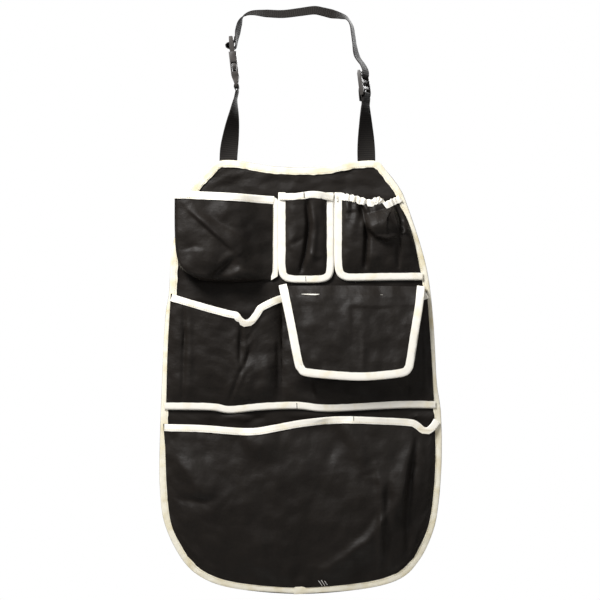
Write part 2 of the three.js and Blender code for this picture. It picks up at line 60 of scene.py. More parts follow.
# %% [markdown]
# ## Camera, light and floor
# A black bag shows best against a white surround, under one soft key light that grazes the cloth
# from above so that its folds show, with a weaker fill. A long lens keeps the outline true.

# %% Camera
VIEW_WIDTH = 0.840
VIEW_MIDDLE = -0.397
CAMERA_AWAY = 3.2
WIDTH_MEASURED_AT = 0.012  # the view is VIEW_WIDTH wide this far in front of the panel
SENSOR = 0.036

bpy.ops.object.camera_add(location=(0, -CAMERA_AWAY, VIEW_MIDDLE), rotation=(math.pi / 2, 0, 0))
camera = bpy.context.object
camera.data.sensor_width = SENSOR / MM
camera.data.lens = SENSOR / MM * (CAMERA_AWAY - WIDTH_MEASURED_AT) / VIEW_WIDTH
bpy.context.scene.camera = camera
bpy.context.scene.view_settings.view_transform = "Standard"
print("lens", round(camera.data.lens, 1), "mm")

# %% Light and floor
def soft_light(name, place, aim, size, power):
    bpy.ops.object.light_add(type="AREA", location=place)
    light = bpy.context.object
    light.name = name
    light.data.size = size
    light.data.energy = power
    light.rotation_euler = (Vector(aim) - Vector(place)).to_track_quat("-Z", "Y").to_euler()
    return light


world = bpy.data.worlds.new("white_surround")
bpy.context.scene.world = world
world.use_nodes = True
surround = world.node_tree.nodes["Background"]
surround.inputs["Color"].default_value = (1, 1, 1, 1)
SURROUND_GLOW = 0.16  # as a light; the camera sees plain white
seen = world.node_tree.nodes.new("ShaderNodeLightPath").outputs["Is Camera Ray"]
strength = world.node_tree.nodes.new("ShaderNodeMapRange")
strength.inputs["To Min"].default_value = SURROUND_GLOW
strength.inputs["To Max"].default_value = 1.0
world.node_tree.links.new(seen, strength.inputs["Value"])
world.node_tree.links.new(strength.outputs["Result"], surround.inputs["Strength"])

soft_light("key", (-0.8, -0.85, 0.8), (0, 0, -0.4), 0.6, 50)
soft_light("fill", (1.5, -2.1, 0.1), (0, 0, -0.5), 0.9, 9)
soft_light("back_light", (0.8, 1.9, 0.7), (0, 0, -0.4), 1.2, 50)

FLOOR_HEIGHT = -2.2
bpy.ops.mesh.primitive_circle_add(vertices=96, radius=2.0, fill_type="NGON", location=(0, 0, FLOOR_HEIGHT))
floor = bpy.context.object
floor.name = "studio_floor"

# %% [markdown]
# ## Colours and the node helper
# Colours are written as the hex values that a colour picker shows. Blender's shaders want linear
# light, so one function turns them. One helper adds a node with its settings and its links.

# %% Helpers for materials
def linear(hex_colour):
    shares = [int(hex_colour[i:i + 2], 16) / 255 for i in (1, 3, 5)]
    light = [s / 12.92 if s <= 0.04045 else ((s + 0.055) / 1.055) ** 2.4 for s in shares]
    return (*light, 1)


def add_node(material, kind, inputs=None, **settings):
    """A node of the kind ShaderNode..., with its settings, and each input a value or a link."""
    made = material.node_tree.nodes.new("ShaderNode" + kind)
    for name, value in settings.items():
        setattr(made, name, value)
    for name, value in (inputs or {}).items():
        if isinstance(value, bpy.types.NodeSocket):
            material.node_tree.links.new(value, made.inputs[name])
        else:
            made.inputs[name].default_value = value
    return made


PER_METRE = (1000, 1000, 1000)


def new_material(name, source):
    """A material, its shader, and the places on its piece in millimetres, from the piece's UV map or
    its object's own coordinates."""
    material = bpy.data.materials.new(name)
    material.use_nodes = True
    place = add_node(material, "TexCoord").outputs[source]
    in_mm = add_node(material, "Mapping", {"Vector": place, "Scale": PER_METRE}).outputs[0]
    return material, material.node_tree.nodes["Principled BSDF"], in_mm


def finish_shader(material, shader, colour, roughness, reliefs, **constant):
    """The material, with colour, roughness and reliefs (pattern, strength, height) on its shader."""
    links = material.node_tree.links
    links.new(colour, shader.inputs["Base Color"])
    links.new(roughness, shader.inputs["Roughness"])
    bump = None
    for pattern, strength, height in reliefs:
        inputs = {"Height": pattern, "Strength": strength, "Distance": height}
        if bump:
            inputs["Normal"] = bump
        bump = add_node(material, "Bump", inputs).outputs[0]
    links.new(bump, shader.inputs["Normal"])
    for name, value in constant.items():
        shader.inputs[name.replace("_", " ")].default_value = value
    return material


WAVE_PERIOD = 2 * math.pi / 20  # a Wave texture repeats this often at scale 1
print("mid grey in linear light:", round(linear("#808080")[0], 3))

# %% [markdown]
# ## Black coated polyester
# The cloth is a plain weave of black polyester with a thin coating behind. Woven black cloth is never
# one black. Here the base tone follows the noise that raises the large rumples, darker in their hollows
# and lighter on their crests, partly painted shade, and the threads are painted lighter where warp and
# weft rise together, a painted sheen. The slack cloth holds soft rumples a few centimetres long and finer
# ones of a few millimetres. Threads of such cloth are usually less than half a millimetre apart, too fine
# to show from a distance, so the weave is drawn at 0.9 mm. It follows the cloth's own UV map, which is
# measured in metres, so that it turns where the cloth turns.

# %% Cloth material
WEAVE_EVERY = 0.9


def woven_polyester():
    material, shader, in_mm = new_material("woven_coated_polyester", "UV")
    threads = {"Vector": in_mm, "Scale": WAVE_PERIOD / WEAVE_EVERY}
    warp = add_node(material, "TexWave", threads, bands_direction="X").outputs["Fac"]
    weft = add_node(material, "TexWave", threads, bands_direction="Y").outputs["Fac"]
    weave = add_node(material, "Math", {0: warp, 1: weft}, operation="MULTIPLY").outputs[0]
    drawn_out = add_node(material, "Mapping", {"Vector": in_mm, "Scale": (0.02, 0.55, 1)}).outputs[0]
    slubs = add_node(material, "TexNoise", {"Vector": drawn_out, "Scale": 1.0, "Detail": 3.0}).outputs["Fac"]
    rumples = add_node(material, "TexNoise", {"Vector": in_mm, "Scale": 0.03, "Detail": 1.0}).outputs["Fac"]
    fine = add_node(material, "TexNoise", {"Vector": in_mm, "Scale": 0.11, "Detail": 2.0}).outputs["Fac"]
    # The base tone follows the rumples' noise: darker in their hollows and lighter on their crests, partly
    # painted shade.
    rumple_shaded = add_node(
        material, "Mix", {0: rumples, 6: linear("#14110E"), 7: linear("#1C1814")}, data_type="RGBA",
    ).outputs[2]
    # Where warp and weft rise together the colour is painted lighter: a painted sheen on the threads.
    base_and_painted_sheen = add_node(material, "Mix", {0: weave, 6: rumple_shaded, 7: linear("#251F1B")}, data_type="RGBA").outputs[2]
    rough = add_node(
        material, "MapRange",
        {"Value": slubs, "From Min": 0.3, "From Max": 0.7, "To Min": 0.46, "To Max": 0.6},
    ).outputs[0]
    reliefs = [(rumples, 0.7, 0.011), (fine, 0.4, 0.0016), (slubs, 0.3, 0.0003), (weave, 0.5, 0.00015)]
    return finish_shader(material, shader, base_and_painted_sheen, rough, reliefs, Specular_IOR_Level=0.2)


black_cloth = woven_polyester()

# %% [markdown]
# ## Cream binding tape
# The tape is a soft woven ribbon with fine ribs across it. Like the weave they are drawn at 0.9 mm,
# so that they show. The tape has taken up a little dirt and yellowed in patches, more so round the
# panel, where it is rubbed, and the needle leaves it slightly quilted.

# %% Tape material
RIBS_EVERY = 0.9


def binding_tape(name, pale, yellow, clean):
    """clean is how much of the tape stays pale, from 0.3, little, to 0.6, nearly all."""
    material, shader, in_mm = new_material(name, "UV")
    ribs = add_node(material, "TexWave", {"Vector": in_mm, "Scale": WAVE_PERIOD / RIBS_EVERY}).outputs["Fac"]
    grain = add_node(material, "TexNoise", {"Vector": in_mm, "Scale": 1.1, "Detail": 2.0}).outputs["Fac"]
    stain = add_node(material, "TexNoise", {"Vector": in_mm, "Scale": 0.05, "Detail": 4.0}).outputs["Fac"]
    yellowed = add_node(
        material, "MapRange", {"Value": stain, "From Min": clean, "From Max": clean + 0.3},
    ).outputs[0]
    base = add_node(
        material, "Mix", {0: yellowed, 6: linear(pale), 7: linear(yellow)}, data_type="RGBA",
    ).outputs[2]
    seen = add_node(material, "MapRange", {"Value": ribs, "To Min": 0.0, "To Max": 0.25}).outputs[0]
    colour = add_node(material, "Mix", {0: seen, 6: base, 7: linear("#F4EFE3")}, data_type="RGBA").outputs[2]
    rough = add_node(material, "MapRange", {"Value": grain, "To Min": 0.6, "To Max": 0.85}).outputs[0]
    reliefs = [(stain, 0.5, 0.0015), (grain, 0.25, 0.0003), (ribs, 0.5, 0.00018)]
    return finish_shader(material, shader, colour, rough, reliefs, Specular_IOR_Level=0.2)


cream_tape = binding_tape("cream_woven_tape", "#F6F2E8", "#EADFBF", 0.5)
aged_tape = binding_tape("aged_woven_tape", "#F4EEDB", "#DDCFA4", 0.44)

# %% [markdown]
# ## Webbing, thread and moulded plastic
# Webbing is woven in cords that lie side by side along it, about 1.8 mm apart, crossed by weft
# ribs. The buckle and the lock are moulded acetal: black, with a fine spark-eroded grain and a
# satin gloss, rubbed smoother along their edges. Thread is twisted polyester.

# %% Webbing material
CORDS_EVERY = 1.8
WEFT_EVERY = 3.0


def ribbed_webbing():
    material, shader, in_mm = new_material("ribbed_webbing", "UV")
    cords = add_node(
        material, "TexWave", {"Vector": in_mm, "Scale": WAVE_PERIOD / CORDS_EVERY}, bands_direction="X",
    ).outputs["Fac"]
    weft = add_node(
        material, "TexWave", {"Vector": in_mm, "Scale": WAVE_PERIOD / WEFT_EVERY}, bands_direction="Y",
    ).outputs["Fac"]
    soft_cords = add_node(material, "MapRange", {"Value": cords, "To Min": 0.6, "To Max": 1.0}).outputs[0]
    woven = add_node(material, "Math", {0: soft_cords, 1: weft}, operation="MULTIPLY").outputs[0]
    dust = add_node(material, "TexNoise", {"Vector": in_mm, "Scale": 0.12, "Detail": 4.0}).outputs["Fac"]
    base = add_node(
        material, "Mix", {0: dust, 6: linear("#0C0A09"), 7: linear("#171412")}, data_type="RGBA",
    ).outputs[2]
    colour = add_node(
        material, "Mix", {0: woven, 6: base, 7: linear("#25211E")}, data_type="RGBA",
    ).outputs[2]
    rough = add_node(material, "MapRange", {"Value": dust, "To Min": 0.6, "To Max": 0.8}).outputs[0]
    return finish_shader(material, shader, colour, rough, [(woven, 0.5, 0.0003)], Specular_IOR_Level=0.25)


black_webbing = ribbed_webbing()


# %% Plastic and thread materials
def moulded_acetal():
    material, shader, in_mm = new_material("moulded_black_acetal", "Object")
    grain = add_node(material, "TexNoise", {"Vector": in_mm, "Scale": 2.2, "Detail": 2.0}).outputs["Fac"]
    rubbed = add_node(material, "TexNoise", {"Vector": in_mm, "Scale": 0.12, "Detail": 4.0}).outputs["Fac"]
    colour = add_node(
        material, "Mix", {0: rubbed, 6: linear("#322F2D"), 7: linear("#46423F")}, data_type="RGBA",
    ).outputs[2]
    rough = add_node(material, "MapRange", {"Value": rubbed, "To Min": 0.3, "To Max": 0.5}).outputs[0]
    return finish_shader(material, shader, colour, rough, [(grain, 0.25, 0.0001)])


def twisted_thread(name, dark, pale):
    material, shader, in_mm = new_material(name, "Object")
    fibre = add_node(material, "TexNoise", {"Vector": in_mm, "Scale": 2.0, "Detail": 2.0}).outputs["Fac"]
    colour = add_node(
        material, "Mix", {0: fibre, 6: linear(dark), 7: linear(pale)}, data_type="RGBA",
    ).outputs[2]
    rough = add_node(material, "MapRange", {"Value": fibre, "To Min": 0.5, "To Max": 0.75}).outputs[0]
    return finish_shader(material, shader, colour, rough, [(fibre, 0.4, 0.0001)], Sheen_Weight=0.1)


black_plastic = moulded_acetal()
cream_thread = twisted_thread("cream_sewing_thread", "#D8CBA6", "#EFE6CC")
black_thread = twisted_thread("black_sewing_thread", "#0E0D0D", "#2A2726")
white_thread = twisted_thread("white_thread_ends", "#F4F2EC", "#FFFFFF")
loop_pile = twisted_thread("loop_fastener_pile", "#0B0B0B", "#1D1B1B")


# %% Floor finish
def painted_floor():
    material, shader, in_mm = new_material("pale_matt_paint", "Object")
    mottle = add_node(material, "TexNoise", {"Vector": in_mm, "Scale": 0.006, "Detail": 3.0}).outputs["Fac"]
    colour = add_node(
        material, "Mix", {0: mottle, 6: linear("#EDEBE7"), 7: linear("#F2F0EC")}, data_type="RGBA",
    ).outputs[2]
    shader.inputs["Roughness"].default_value = 0.9
    material.node_tree.links.new(colour, shader.inputs["Base Color"])
    return material


floor.data.materials.append(painted_floor())
print("materials:", [m.name for m in bpy.data.materials])

# %% [markdown]
# ## Laying out cloth
# A piece of cloth has four edges. If each is a smooth line, every point between them can be
# blended from the four: that is a Coons patch. Its x and z come from the edges, and a formula
# gives how far it stands off the panel. Blender's grid supplies the points and the faces.

# %% Lines
def along(points):
    """A function giving the point at each share of the length of a smooth line through the points."""
    line = np.array(points, float) * MM
    padded = np.vstack([2 * line[0] - line[1], line, 2 * line[-1] - line[-2]])
    share = np.linspace(0, 1, 12, endpoint=False)[:, None]
    spans = []
    for a, b, c, d in zip(padded, padded[1:], padded[2:], padded[3:]):
        curve = 2 * b + (c - a) * share + (2 * a - 5 * b + 4 * c - d) * share**2
        spans.append((curve + (3 * b - a - 3 * c + d) * share**3) / 2)
    dense = np.vstack([*spans, line[-1:]])
    gone = np.concatenate([[0], np.cumsum(np.linalg.norm(np.diff(dense, axis=0), axis=1))])

    def at(share_of_length):
        distance = np.asarray(share_of_length) * gone[-1]
        return np.stack([np.interp(distance, gone, dense[:, k]) for k in range(dense.shape[1])], -1)

    at.length = gone[-1]
    at.marks = gone[::12] / gone[-1]  # the share at each of the points
    return at


def between(left, right, bottom, top):
    """Blends four edge lines in x, z: left and right run upwards, bottom and top run to the right."""
    edges = [along(line) for line in (left, right, bottom, top)]

    def at(u, v):
        side_l, side_r, low, high = edges[0](v), edges[1](v), edges[2](u), edges[3](u)
        u, v = u[:, None], v[:, None]
        corners = (1 - v) * ((1 - u) * edges[2](0.0) + u * edges[2](1.0))
        corners = corners + v * ((1 - u) * edges[3](0.0) + u * edges[3](1.0))
        return (1 - u) * side_l + u * side_r + (1 - v) * low + v * high - corners

    at.size = (edges[3].length, max(edges[0].length, edges[1].length))
    return at


# %% Cloth from a grid
def deselect():
    if bpy.context.object and bpy.context.object.mode != "OBJECT":
        bpy.ops.object.mode_set(mode="OBJECT")
    bpy.ops.object.select_all(action="DESELECT")


def use_modifier(piece, kind, **settings):
    modifier = piece.modifiers.new(kind.lower(), kind)
    for name, value in settings.items():
        setattr(modifier, name, value)
    bpy.context.view_layer.objects.active = piece
    bpy.ops.object.modifier_apply(modifier=modifier.name)


def cloth(name, columns, rows, place, size, thickness, material, offset=0.0):
    """A sheet whose point at u, v is place(u, v), with a UV map in metres, thickened."""
    deselect()
    bpy.ops.mesh.primitive_grid_add(x_subdivisions=columns, y_subdivisions=rows, size=1)
    piece = bpy.context.object
    piece.name = name
    flat = np.empty(len(piece.data.vertices) * 3)
    piece.data.vertices.foreach_get("co", flat)
    flat = flat.reshape(-1, 3) + 0.5
    laid = place(np.clip(flat[:, 0], 0, 1), np.clip(flat[:, 1], 0, 1))
    piece.data.vertices.foreach_set("co", laid.ravel())
    uvs = piece.data.uv_layers.active.data
    flat_uv = np.empty(len(uvs) * 2)
    uvs.foreach_get("uv", flat_uv)
    uvs.foreach_set("uv", (flat_uv.reshape(-1, 2) * size).ravel())
    piece["cut_area"] = sum(face.area for face in piece.data.polygons)
    use_modifier(piece, "SOLIDIFY", thickness=thickness, offset=offset)
    deselect()
    piece.select_set(True)
    bpy.ops.object.shade_smooth_by_angle(angle=math.radians(50))
    piece.data.materials.append(material)
    print(name, len(piece.data.vertices), "points, cut area", round(piece["cut_area"], 4))
    return piece


# %% Folds
def swell(share, sharpness):
    """0 at both ends and 1 between them, square-shouldered when sharpness is high."""
    return 1 - np.abs(2 * share - 1) ** sharpness


def crease(x, z, points, width, height, other=None):
    """A fold that stands height proud along a line. It falls away within width on the left of the
    line's way, and within other on its right."""
    line = np.array(points, float) * MM
    lengths = np.linalg.norm(np.diff(line, axis=0), axis=1)
    gone = np.concatenate([[0], np.cumsum(lengths)])
    nearest = np.full(x.shape, 1e9)
    share = np.zeros(x.shape)
    on_left = np.zeros(x.shape, bool)
    for (ax, az), (bx, bz), start, length in zip(line, line[1:], gone, lengths):
        t = np.clip(((x - ax) * (bx - ax) + (z - az) * (bz - az)) / length**2, 0, 1)
        away = np.hypot(x - ax - t * (bx - ax), z - az - t * (bz - az))
        closer = away < nearest
        share = np.where(closer, (start + t * length) / gone[-1], share)
        on_left = np.where(closer, (bx - ax) * (z - az) > (bz - az) * (x - ax), on_left)
        nearest = np.minimum(nearest, away)
    fade = 0.15 + 0.85 * swell(share, 2.5)
    reach = np.where(on_left, width, other or width) * MM
    return height * MM * fade * np.exp(-((nearest / reach) ** 2))


def creases(x, z, folds):
    """Several folds together, each given as crease takes it."""
    return sum(crease(x, z, *fold) for fold in folds)


def rumple(x, z, across, up, height, seed):
    """Gentle unevenness, with lumps across wide and up tall."""
    offset = Vector((seed * 17.3, seed * 5.1, seed * 2.7))
    spots = (Vector((a / (across * MM), b / (up * MM), 0)) + offset for a, b in zip(x, z))
    return height * MM * np.fromiter((noise.noise(spot) for spot in spots), float, len(x))


def no_lower(value, low):
    """The value where it is above low, easing smoothly into low instead of passing it."""
    above = value - low
    return low + (above + np.sqrt(above**2 + (0.6 * MM) ** 2)) / 2


def rise(value, low, high):
    """Goes smoothly from 0 at low to 1 at high."""
    t = np.clip((value - low) / (high - low), 0, 1)
    return t * t * (3 - 2 * t)


def laid_at(plan, stand_off):
    """The cloth's place: x and z from its plan, y from how far it stands off the panel's middle."""
    def place(u, v):
        spot = plan(u, v)
        x, z = spot[:, 0], spot[:, 1]
        return np.stack([x, -stand_off(u, v, x, z), z], -1)
    return place


POLYESTER_THICK = 0.0009


def hung_cloth(name, columns, rows, plan, stand_off, thickness=POLYESTER_THICK):
    return cloth(name, columns, rows, laid_at(plan, stand_off), plan.size, thickness, black_cloth)


# %% [markdown]
# ## Folding tape over an edge
# Binding tape is one ribbon folded lengthways over a raw edge: a front leaf, a round fold and a
# back leaf. A grid does it too: one direction runs along the edge and the other goes round the
# fold. Sewing pulls the tape in a little between stitches, so its edges wander slightly.

# %% Tape
TAPE_THICK = 0.0007
NARROW_TAPE = 9.6
USUAL_TAPE = 10.0
WIDE_TAPE = 10.8
SEAM_FROM_EDGE = 2.2  # the stitches run this far inside the tape's free edge
THREAD_PROUD = 0.45


def folded_tape(
    name, route, side, width, half, surface=None, wander=0.35, extra=None, material=cream_tape, step=0.0028,
):
    """Tape over the edge along route (x, y, z), reaching width in from it and standing half proud of
    it. side is 1 when the cloth is to the left of the way, surface(u, reach, z) gives the cloth's y at
    that reach and height, and extra moves the finished points."""
    path = along(route)
    count = max(12, round(path.length / step))

    def place(u, v):
        spot = path(u)
        way = path(np.clip(u + 0.002, 0, 1)) - path(np.clip(u - 0.002, 0, 1))
        length = np.hypot(way[:, 0], way[:, 2])
        inward = np.stack([-way[:, 2] / length, way[:, 0] / length], -1) * side
        q = 2 * v - 1
        wobble = rumple(u * path.length, q * 0.02, 7, 11, wander, len(name))  # the name seeds it
        reach = width * MM * (np.sqrt(q * q + 0.01) - 0.1) / 0.905 + wobble * np.abs(q)
        puff = half * MM * (1 + 0.12 * np.sin(np.pi * np.abs(q))) + 0.2 * wobble
        out = np.tanh(-q / 0.09) * puff  # from one leaf round the fold to the other
        x = spot[:, 0] + inward[:, 0] * reach
        z = spot[:, 2] + inward[:, 1] * reach
        y = (surface(u, reach, z) if surface else spot[:, 1]) - out
        if extra:
            x, y, z = extra(u, q, x, y, z)
        return np.stack([x, y, z], -1)

    size = (path.length, 2 * width * MM)
    return cloth(name, count, 18, place, size, TAPE_THICK, material, offset=-1.0)


# %% [markdown]
# ## Stitches
# A lockstitch shows as short thread dashes, each sunk a little at its two ends. One dash is
# modelled as a small rounded bar and copied along the seam.

# %% One stitch, copied along a seam
STITCH_EVERY = 3.2
STITCH_LONG = 2.3
STITCH_WIDE = 0.55


def one_stitch():
    deselect()
    bpy.ops.mesh.primitive_uv_sphere_add(segments=6, ring_count=5, radius=0.5)
    bar = bpy.context.object
    points = np.array([v.co for v in bar.data.vertices])[:, [2, 0, 1]]
    faces = [[*face.vertices] for face in bar.data.polygons]
    bpy.data.objects.remove(bar)
    return points * MM, faces


STITCH_POINTS, STITCH_FACES = one_stitch()


def sew(name, seams, material, every=STITCH_EVERY, long=STITCH_LONG, wide=STITCH_WIDE):
    """Stitches along each seam, a list of places (x, y, z) in millimetres."""
    points, faces = [], []
    for seam in seams:
        path = along(seam)
        count = max(1, int(path.length / (every * MM)))
        for i in range(count):
            share = (i + 0.5) / count
            spot = path(share)
            way = path(min(1, share + 0.01)) - path(max(0, share - 0.01))
            way = way / np.linalg.norm(way)
            aside = np.cross(way, [0, 1, 0])
            aside = aside / np.linalg.norm(aside)
            turned = np.stack([way * long, np.cross(aside, way) * wide * 0.8, aside * wide], 0)
            start = len(points) * len(STITCH_POINTS)
            faces.extend([[start + corner for corner in face] for face in STITCH_FACES])
            points.append(STITCH_POINTS @ turned + spot)
    mesh = bpy.data.meshes.new(name)
    mesh.from_pydata(np.vstack(points).tolist(), [], faces)
    piece = bpy.data.objects.new(name, mesh)
    bpy.context.scene.collection.objects.link(piece)
    mesh.materials.append(material)
    deselect()
    piece.select_set(True)
    bpy.context.view_layer.objects.active = piece
    bpy.ops.object.mode_set(mode="EDIT")
    bpy.ops.mesh.select_all(action="SELECT")
    bpy.ops.mesh.normals_make_consistent(inside=False)
    bpy.ops.object.mode_set(mode="OBJECT")
    bpy.ops.object.shade_smooth()
    print(name, len(points), "stitches")
    return piece


def beside(line, side, distance, stand_off=0.0):
    """The same line moved distance to one side in x, z, and stand_off forwards."""
    path = along(line)
    shares = np.linspace(0, 1, max(4, int(path.length / 0.012)))
    spot = path(shares)
    step = path(np.clip(shares + 0.002, 0, 1)) - path(np.clip(shares - 0.002, 0, 1))
    length = np.hypot(step[:, 0], step[:, 2])
    x = spot[:, 0] - side * distance * MM * step[:, 2] / length
    z = spot[:, 2] + side * distance * MM * step[:, 0] / length
    y = spot[:, 1] - stand_off * MM
    return (np.stack([x, y, z], -1) / MM).tolist()


# %% [markdown]
# ## The back panel and its binding
# The panel is one cut of cloth, narrow at the shoulders, straight down the sides and round at the
# base. Its outline is a handful of points on a smooth line. The cloth hangs nearly flat, with slow
# waves where it isn't held.

# %% Panel outline
LEFT_SIDE = [
    (-114, -202), (-131, -217), (-151, -240), (-167, -280), (-180, -327), (-184, -387), (-189, -420),
    (-193, -492), (-197, -600), (-197, -660), (-190, -712), (-166, -761),
]
RIGHT_SIDE = [
    (108, -202), (122, -216), (140, -240), (150, -262), (170, -322), (181, -369), (188, -435), (192, -510),
    (198, -556), (199, -621), (195, -680), (187, -722), (168, -762),
]
TOP_EDGE = [
    (-114, -202), (-88, -201), (-68, -204.5), (-40, -209), (0, -211), (38, -209.5), (63, -204.5), (82, -202),
    (108, -202),
]
BASE_EDGE = [(-166, -761), (-136, -788), (-88, -803), (0, -810), (88, -803), (140, -789), (168, -762)]


SHOULDER_FOLDS = [
    ([(-88, -208), (-85, -226), (-80, -246)], 4, -1.6, 14),
    ([(-60, -216), (-52, -234)], 12, 2),
    ([(66, -210), (62, -228), (64, -244)], 8, -1.8, 8),
]
LOW_FOLDS = [
    ([(-110, -562), (-84, -560), (-66, -566)], 4, 3.5, 6),
    ([(-80, -570), (-62, -564), (-48, -558)], 3, -2, 5),
    ([(150, -562), (168, -560), (190, -561)], 3, 3, 3),
    ([(-20, -560), (20, -559), (50, -560)], 5, 1.8),
]


def panel_stand_off(u, v, x, z):
    folds = creases(x, z, SHOULDER_FOLDS)
    low_folds = creases(x, z, LOW_FOLDS)
    folds += low_folds * rise(-z / MM, 551, 557)  # the middle strip's tape lies flat above them
    return rumple(x, z, 90, 120, 0.8, 3) + rumple(x, z, 25, 40, 0.5, 4) + folds * swell(u, 14) * swell(v, 20)


panel_plan = between(LEFT_SIDE[::-1], RIGHT_SIDE[::-1], BASE_EDGE, TOP_EDGE)
back_panel = hung_cloth("panel_cloth", 110, 160, panel_plan, panel_stand_off)

# %% Panel binding
LAPPED_TO = (-9, -810.4)  # the tape's end lies over its start
OUTLINE = [
    *BASE_EDGE[3::-1], *LEFT_SIDE[-2::-1], *TOP_EDGE[1:-1], *RIGHT_SIDE, *BASE_EDGE[-2:2:-1], LAPPED_TO,
]
EDGE_ROUTE = [(x, 0, z) for x, z in OUTLINE]


def lapped_end(u, q, x, y, z):
    return x, y - 0.0009 * rise(u, 0.985, 0.995), z


panel_tape = folded_tape(
    "panel_edge_tape", EDGE_ROUTE, -1, USUAL_TAPE, 1.7, wander=1.5, extra=lapped_end, material=aged_tape,
)
edge_seam = beside(EDGE_ROUTE, -1, USUAL_TAPE - SEAM_FROM_EDGE)
PANEL_TAPE_FACES = (-2.1, 2.1)  # its front leaf and its back leaf
panel_stitches = sew(
    "panel_edge_stitches",
    [[(x, leaf, z) for x, y, z in edge_seam] for leaf in PANEL_TAPE_FACES],
    cream_thread,
)

# %% [markdown]
# ## The large bottom pocket
# The pocket is caught under the panel's binding at both sides and round the base, and open at the
# top. Slack cloth bellies out and falls into a few long folds that start at the mouth.

# %% Bottom pocket
BOTTOM_LEFT = [(-158, -757), (-180, -714), (-187, -660), (-189, -610), (-192, -571)]
BOTTOM_RIGHT = [(160, -759), (178, -720), (186, -680), (190, -621), (189, -562)]
BOTTOM_BASE = [(-158, -757), (-131, -780), (-86, -794), (0, -801), (86, -794), (134, -781), (160, -759)]
BOTTOM_MOUTH = [
    (-192, -571), (-140, -572), (-74, -576), (-34, -571), (0, -565), (42, -560.5), (70, -559.5), (110, -561),
    (146, -563), (163, -566), (178, -576.5), (184, -569), (189, -562),
]


BOTTOM_FOLDS = [
    ([(96, -590), (106, -620), (114, -656), (114, -720), (112, -790)], 22, 5, 6),
    ([(124, -640), (122, -700), (119, -780)], 6, -3.5, 6),
    ([(158, -588), (152, -622), (144, -665), (140, -700)], 4, 6, 12),
    ([(164, -592), (156, -640), (150, -700), (152, -770)], 5, -3, 5),
    ([(140, -676), (94, -732), (30, -784)], 16, 5.5, 8),
    ([(-188, -600), (-168, -624), (-140, -660), (-106, -684)], 26, 7, 12),
    ([(-178, -676), (-140, -678), (-112, -674)], 6, -3, 9),
    ([(-84, -586), (-64, -600), (-30, -606)], 18, 4.5),
    ([(60, -568), (78, -592), (98, -640)], 12, 4.5),
    ([(28, -566), (40, -600), (46, -640)], 14, -4),
]


def bottom_stand_off(u, v, x, z):
    drawn_in = 1 - 0.45 * rise(v, 0.35, 1.0)
    belly = 1.6 + 22 * swell(u, 5) * (1 - (1 - v) ** 3) * drawn_in
    folds = creases(x, z, BOTTOM_FOLDS)
    slack = rumple(x, z, 55, 75, 6.5, 1) + rumple(x, z, 20, 28, 1.4, 2)
    held = swell(u, 10) * rise(v, 0, 0.08)
    return belly * MM + (1.4 * folds + slack) * held


bottom_plan = between(BOTTOM_LEFT, BOTTOM_RIGHT, BOTTOM_BASE, BOTTOM_MOUTH)
bottom_pocket = hung_cloth("bottom_pocket_cloth", 150, 100, bottom_plan, bottom_stand_off)


# %% Tape along a mouth
def mouth_share(plan, x):
    """The share of the mouth at which the cloth reaches x millimetres."""
    shares = np.linspace(0, 1, 400)
    return float(np.interp(x * MM, plan(shares, np.ones(400))[:, 0], shares))


def mouth_tape(name, place, tall, first, last, width=USUAL_TAPE, half=1.2, count=42, raised=0.0, **more):
    """Tape over the mouth of the cloth that place lays out, tall metres high, between two shares of
    its width, and the line of its stitches."""
    def share(u):
        return first + (last - first) * u

    def surface(u, reach, z):
        return place(share(u), np.clip(1 - np.abs(reach) / tall, 0, 1))[:, 1]

    edge = place(share(np.linspace(0, 1, count)), np.ones(count)) / MM
    route = [(x, y, z + raised) for x, y, z in edge.tolist()]
    tape = folded_tape(name, route, -1, width, half, surface, **more)
    seam = np.array(beside(route, -1, width - SEAM_FROM_EDGE)) * MM
    reach = np.full(len(seam), (width - SEAM_FROM_EDGE) * MM)
    seam[:, 1] = surface(np.linspace(0, 1, len(seam)), reach, None) - (half + THREAD_PROUD) * MM
    return tape, (seam / MM).tolist()


bottom_mouth_tape, bottom_seam = mouth_tape(
    "bottom_mouth_tape", laid_at(bottom_plan, bottom_stand_off), bottom_plan.size[1], 0.004, 0.996,
)
bottom_mouth_stitches = sew("bottom_mouth_stitches", [bottom_seam], cream_thread)

# %% [markdown]
# ## The middle strip
# One strip of cloth makes two pockets: a seam down the middle closes each from the other. The left
# mouth dips to a notch, and both pockets are pleated so that they can swell.

# %% Middle pockets
MIDDLE_LEFT = [(-188, -542), (-186, -470), (-181, -388)]
MIDDLE_RIGHT = [(188, -540), (184, -470), (178, -384)]
MIDDLE_BASE = [
    (-188, -542), (-126, -543), (-98, -547), (-56, -543), (-6, -541), (42, -545), (140, -540), (188, -540),
]
MIDDLE_MOUTH = [
    (-181, -388), (-154, -396), (-124.6, -404.5), (-98, -411.5), (-87, -414), (-75.6, -425), (-64, -413),
    (-57, -403.5), (-27, -390), (0, -388), (60, -389), (120, -389), (166, -388), (178, -384),
]
MIDDLE_SEAM = -25
MIDDLE_SIDE = 184  # the strip reaches about this far to each side


MIDDLE_FOLDS = [
    ([(-163, -400), (-162, -450), (-165, -540)], 3, -5, 3),
    ([(-156, -404), (-155, -450), (-156, -536)], 5, 3.5, 12),
    ([(-82, -428), (-84, -460), (-84, -490)], 14, -6, 3),
    ([(-78, -432), (-78, -470), (-81, -500), (-100, -546)], 4, 4, 14),
    ([(-66, -458), (-78, -488), (-84, -500), (-101, -546)], 4, -4, 4),
    ([(-44, -470), (-44, -500), (-46, -538)], 10, 4),
    ([(-30, -450), (-30, -490), (-30, -538)], 3, -3, 3),
    ([(12, -505), (17, -522), (20, -540)], 4, -6, 12),
    ([(150, -500), (151, -538)], 4, -3),
    ([(168, -400), (170, -460), (172, -535)], 5, -4),
]


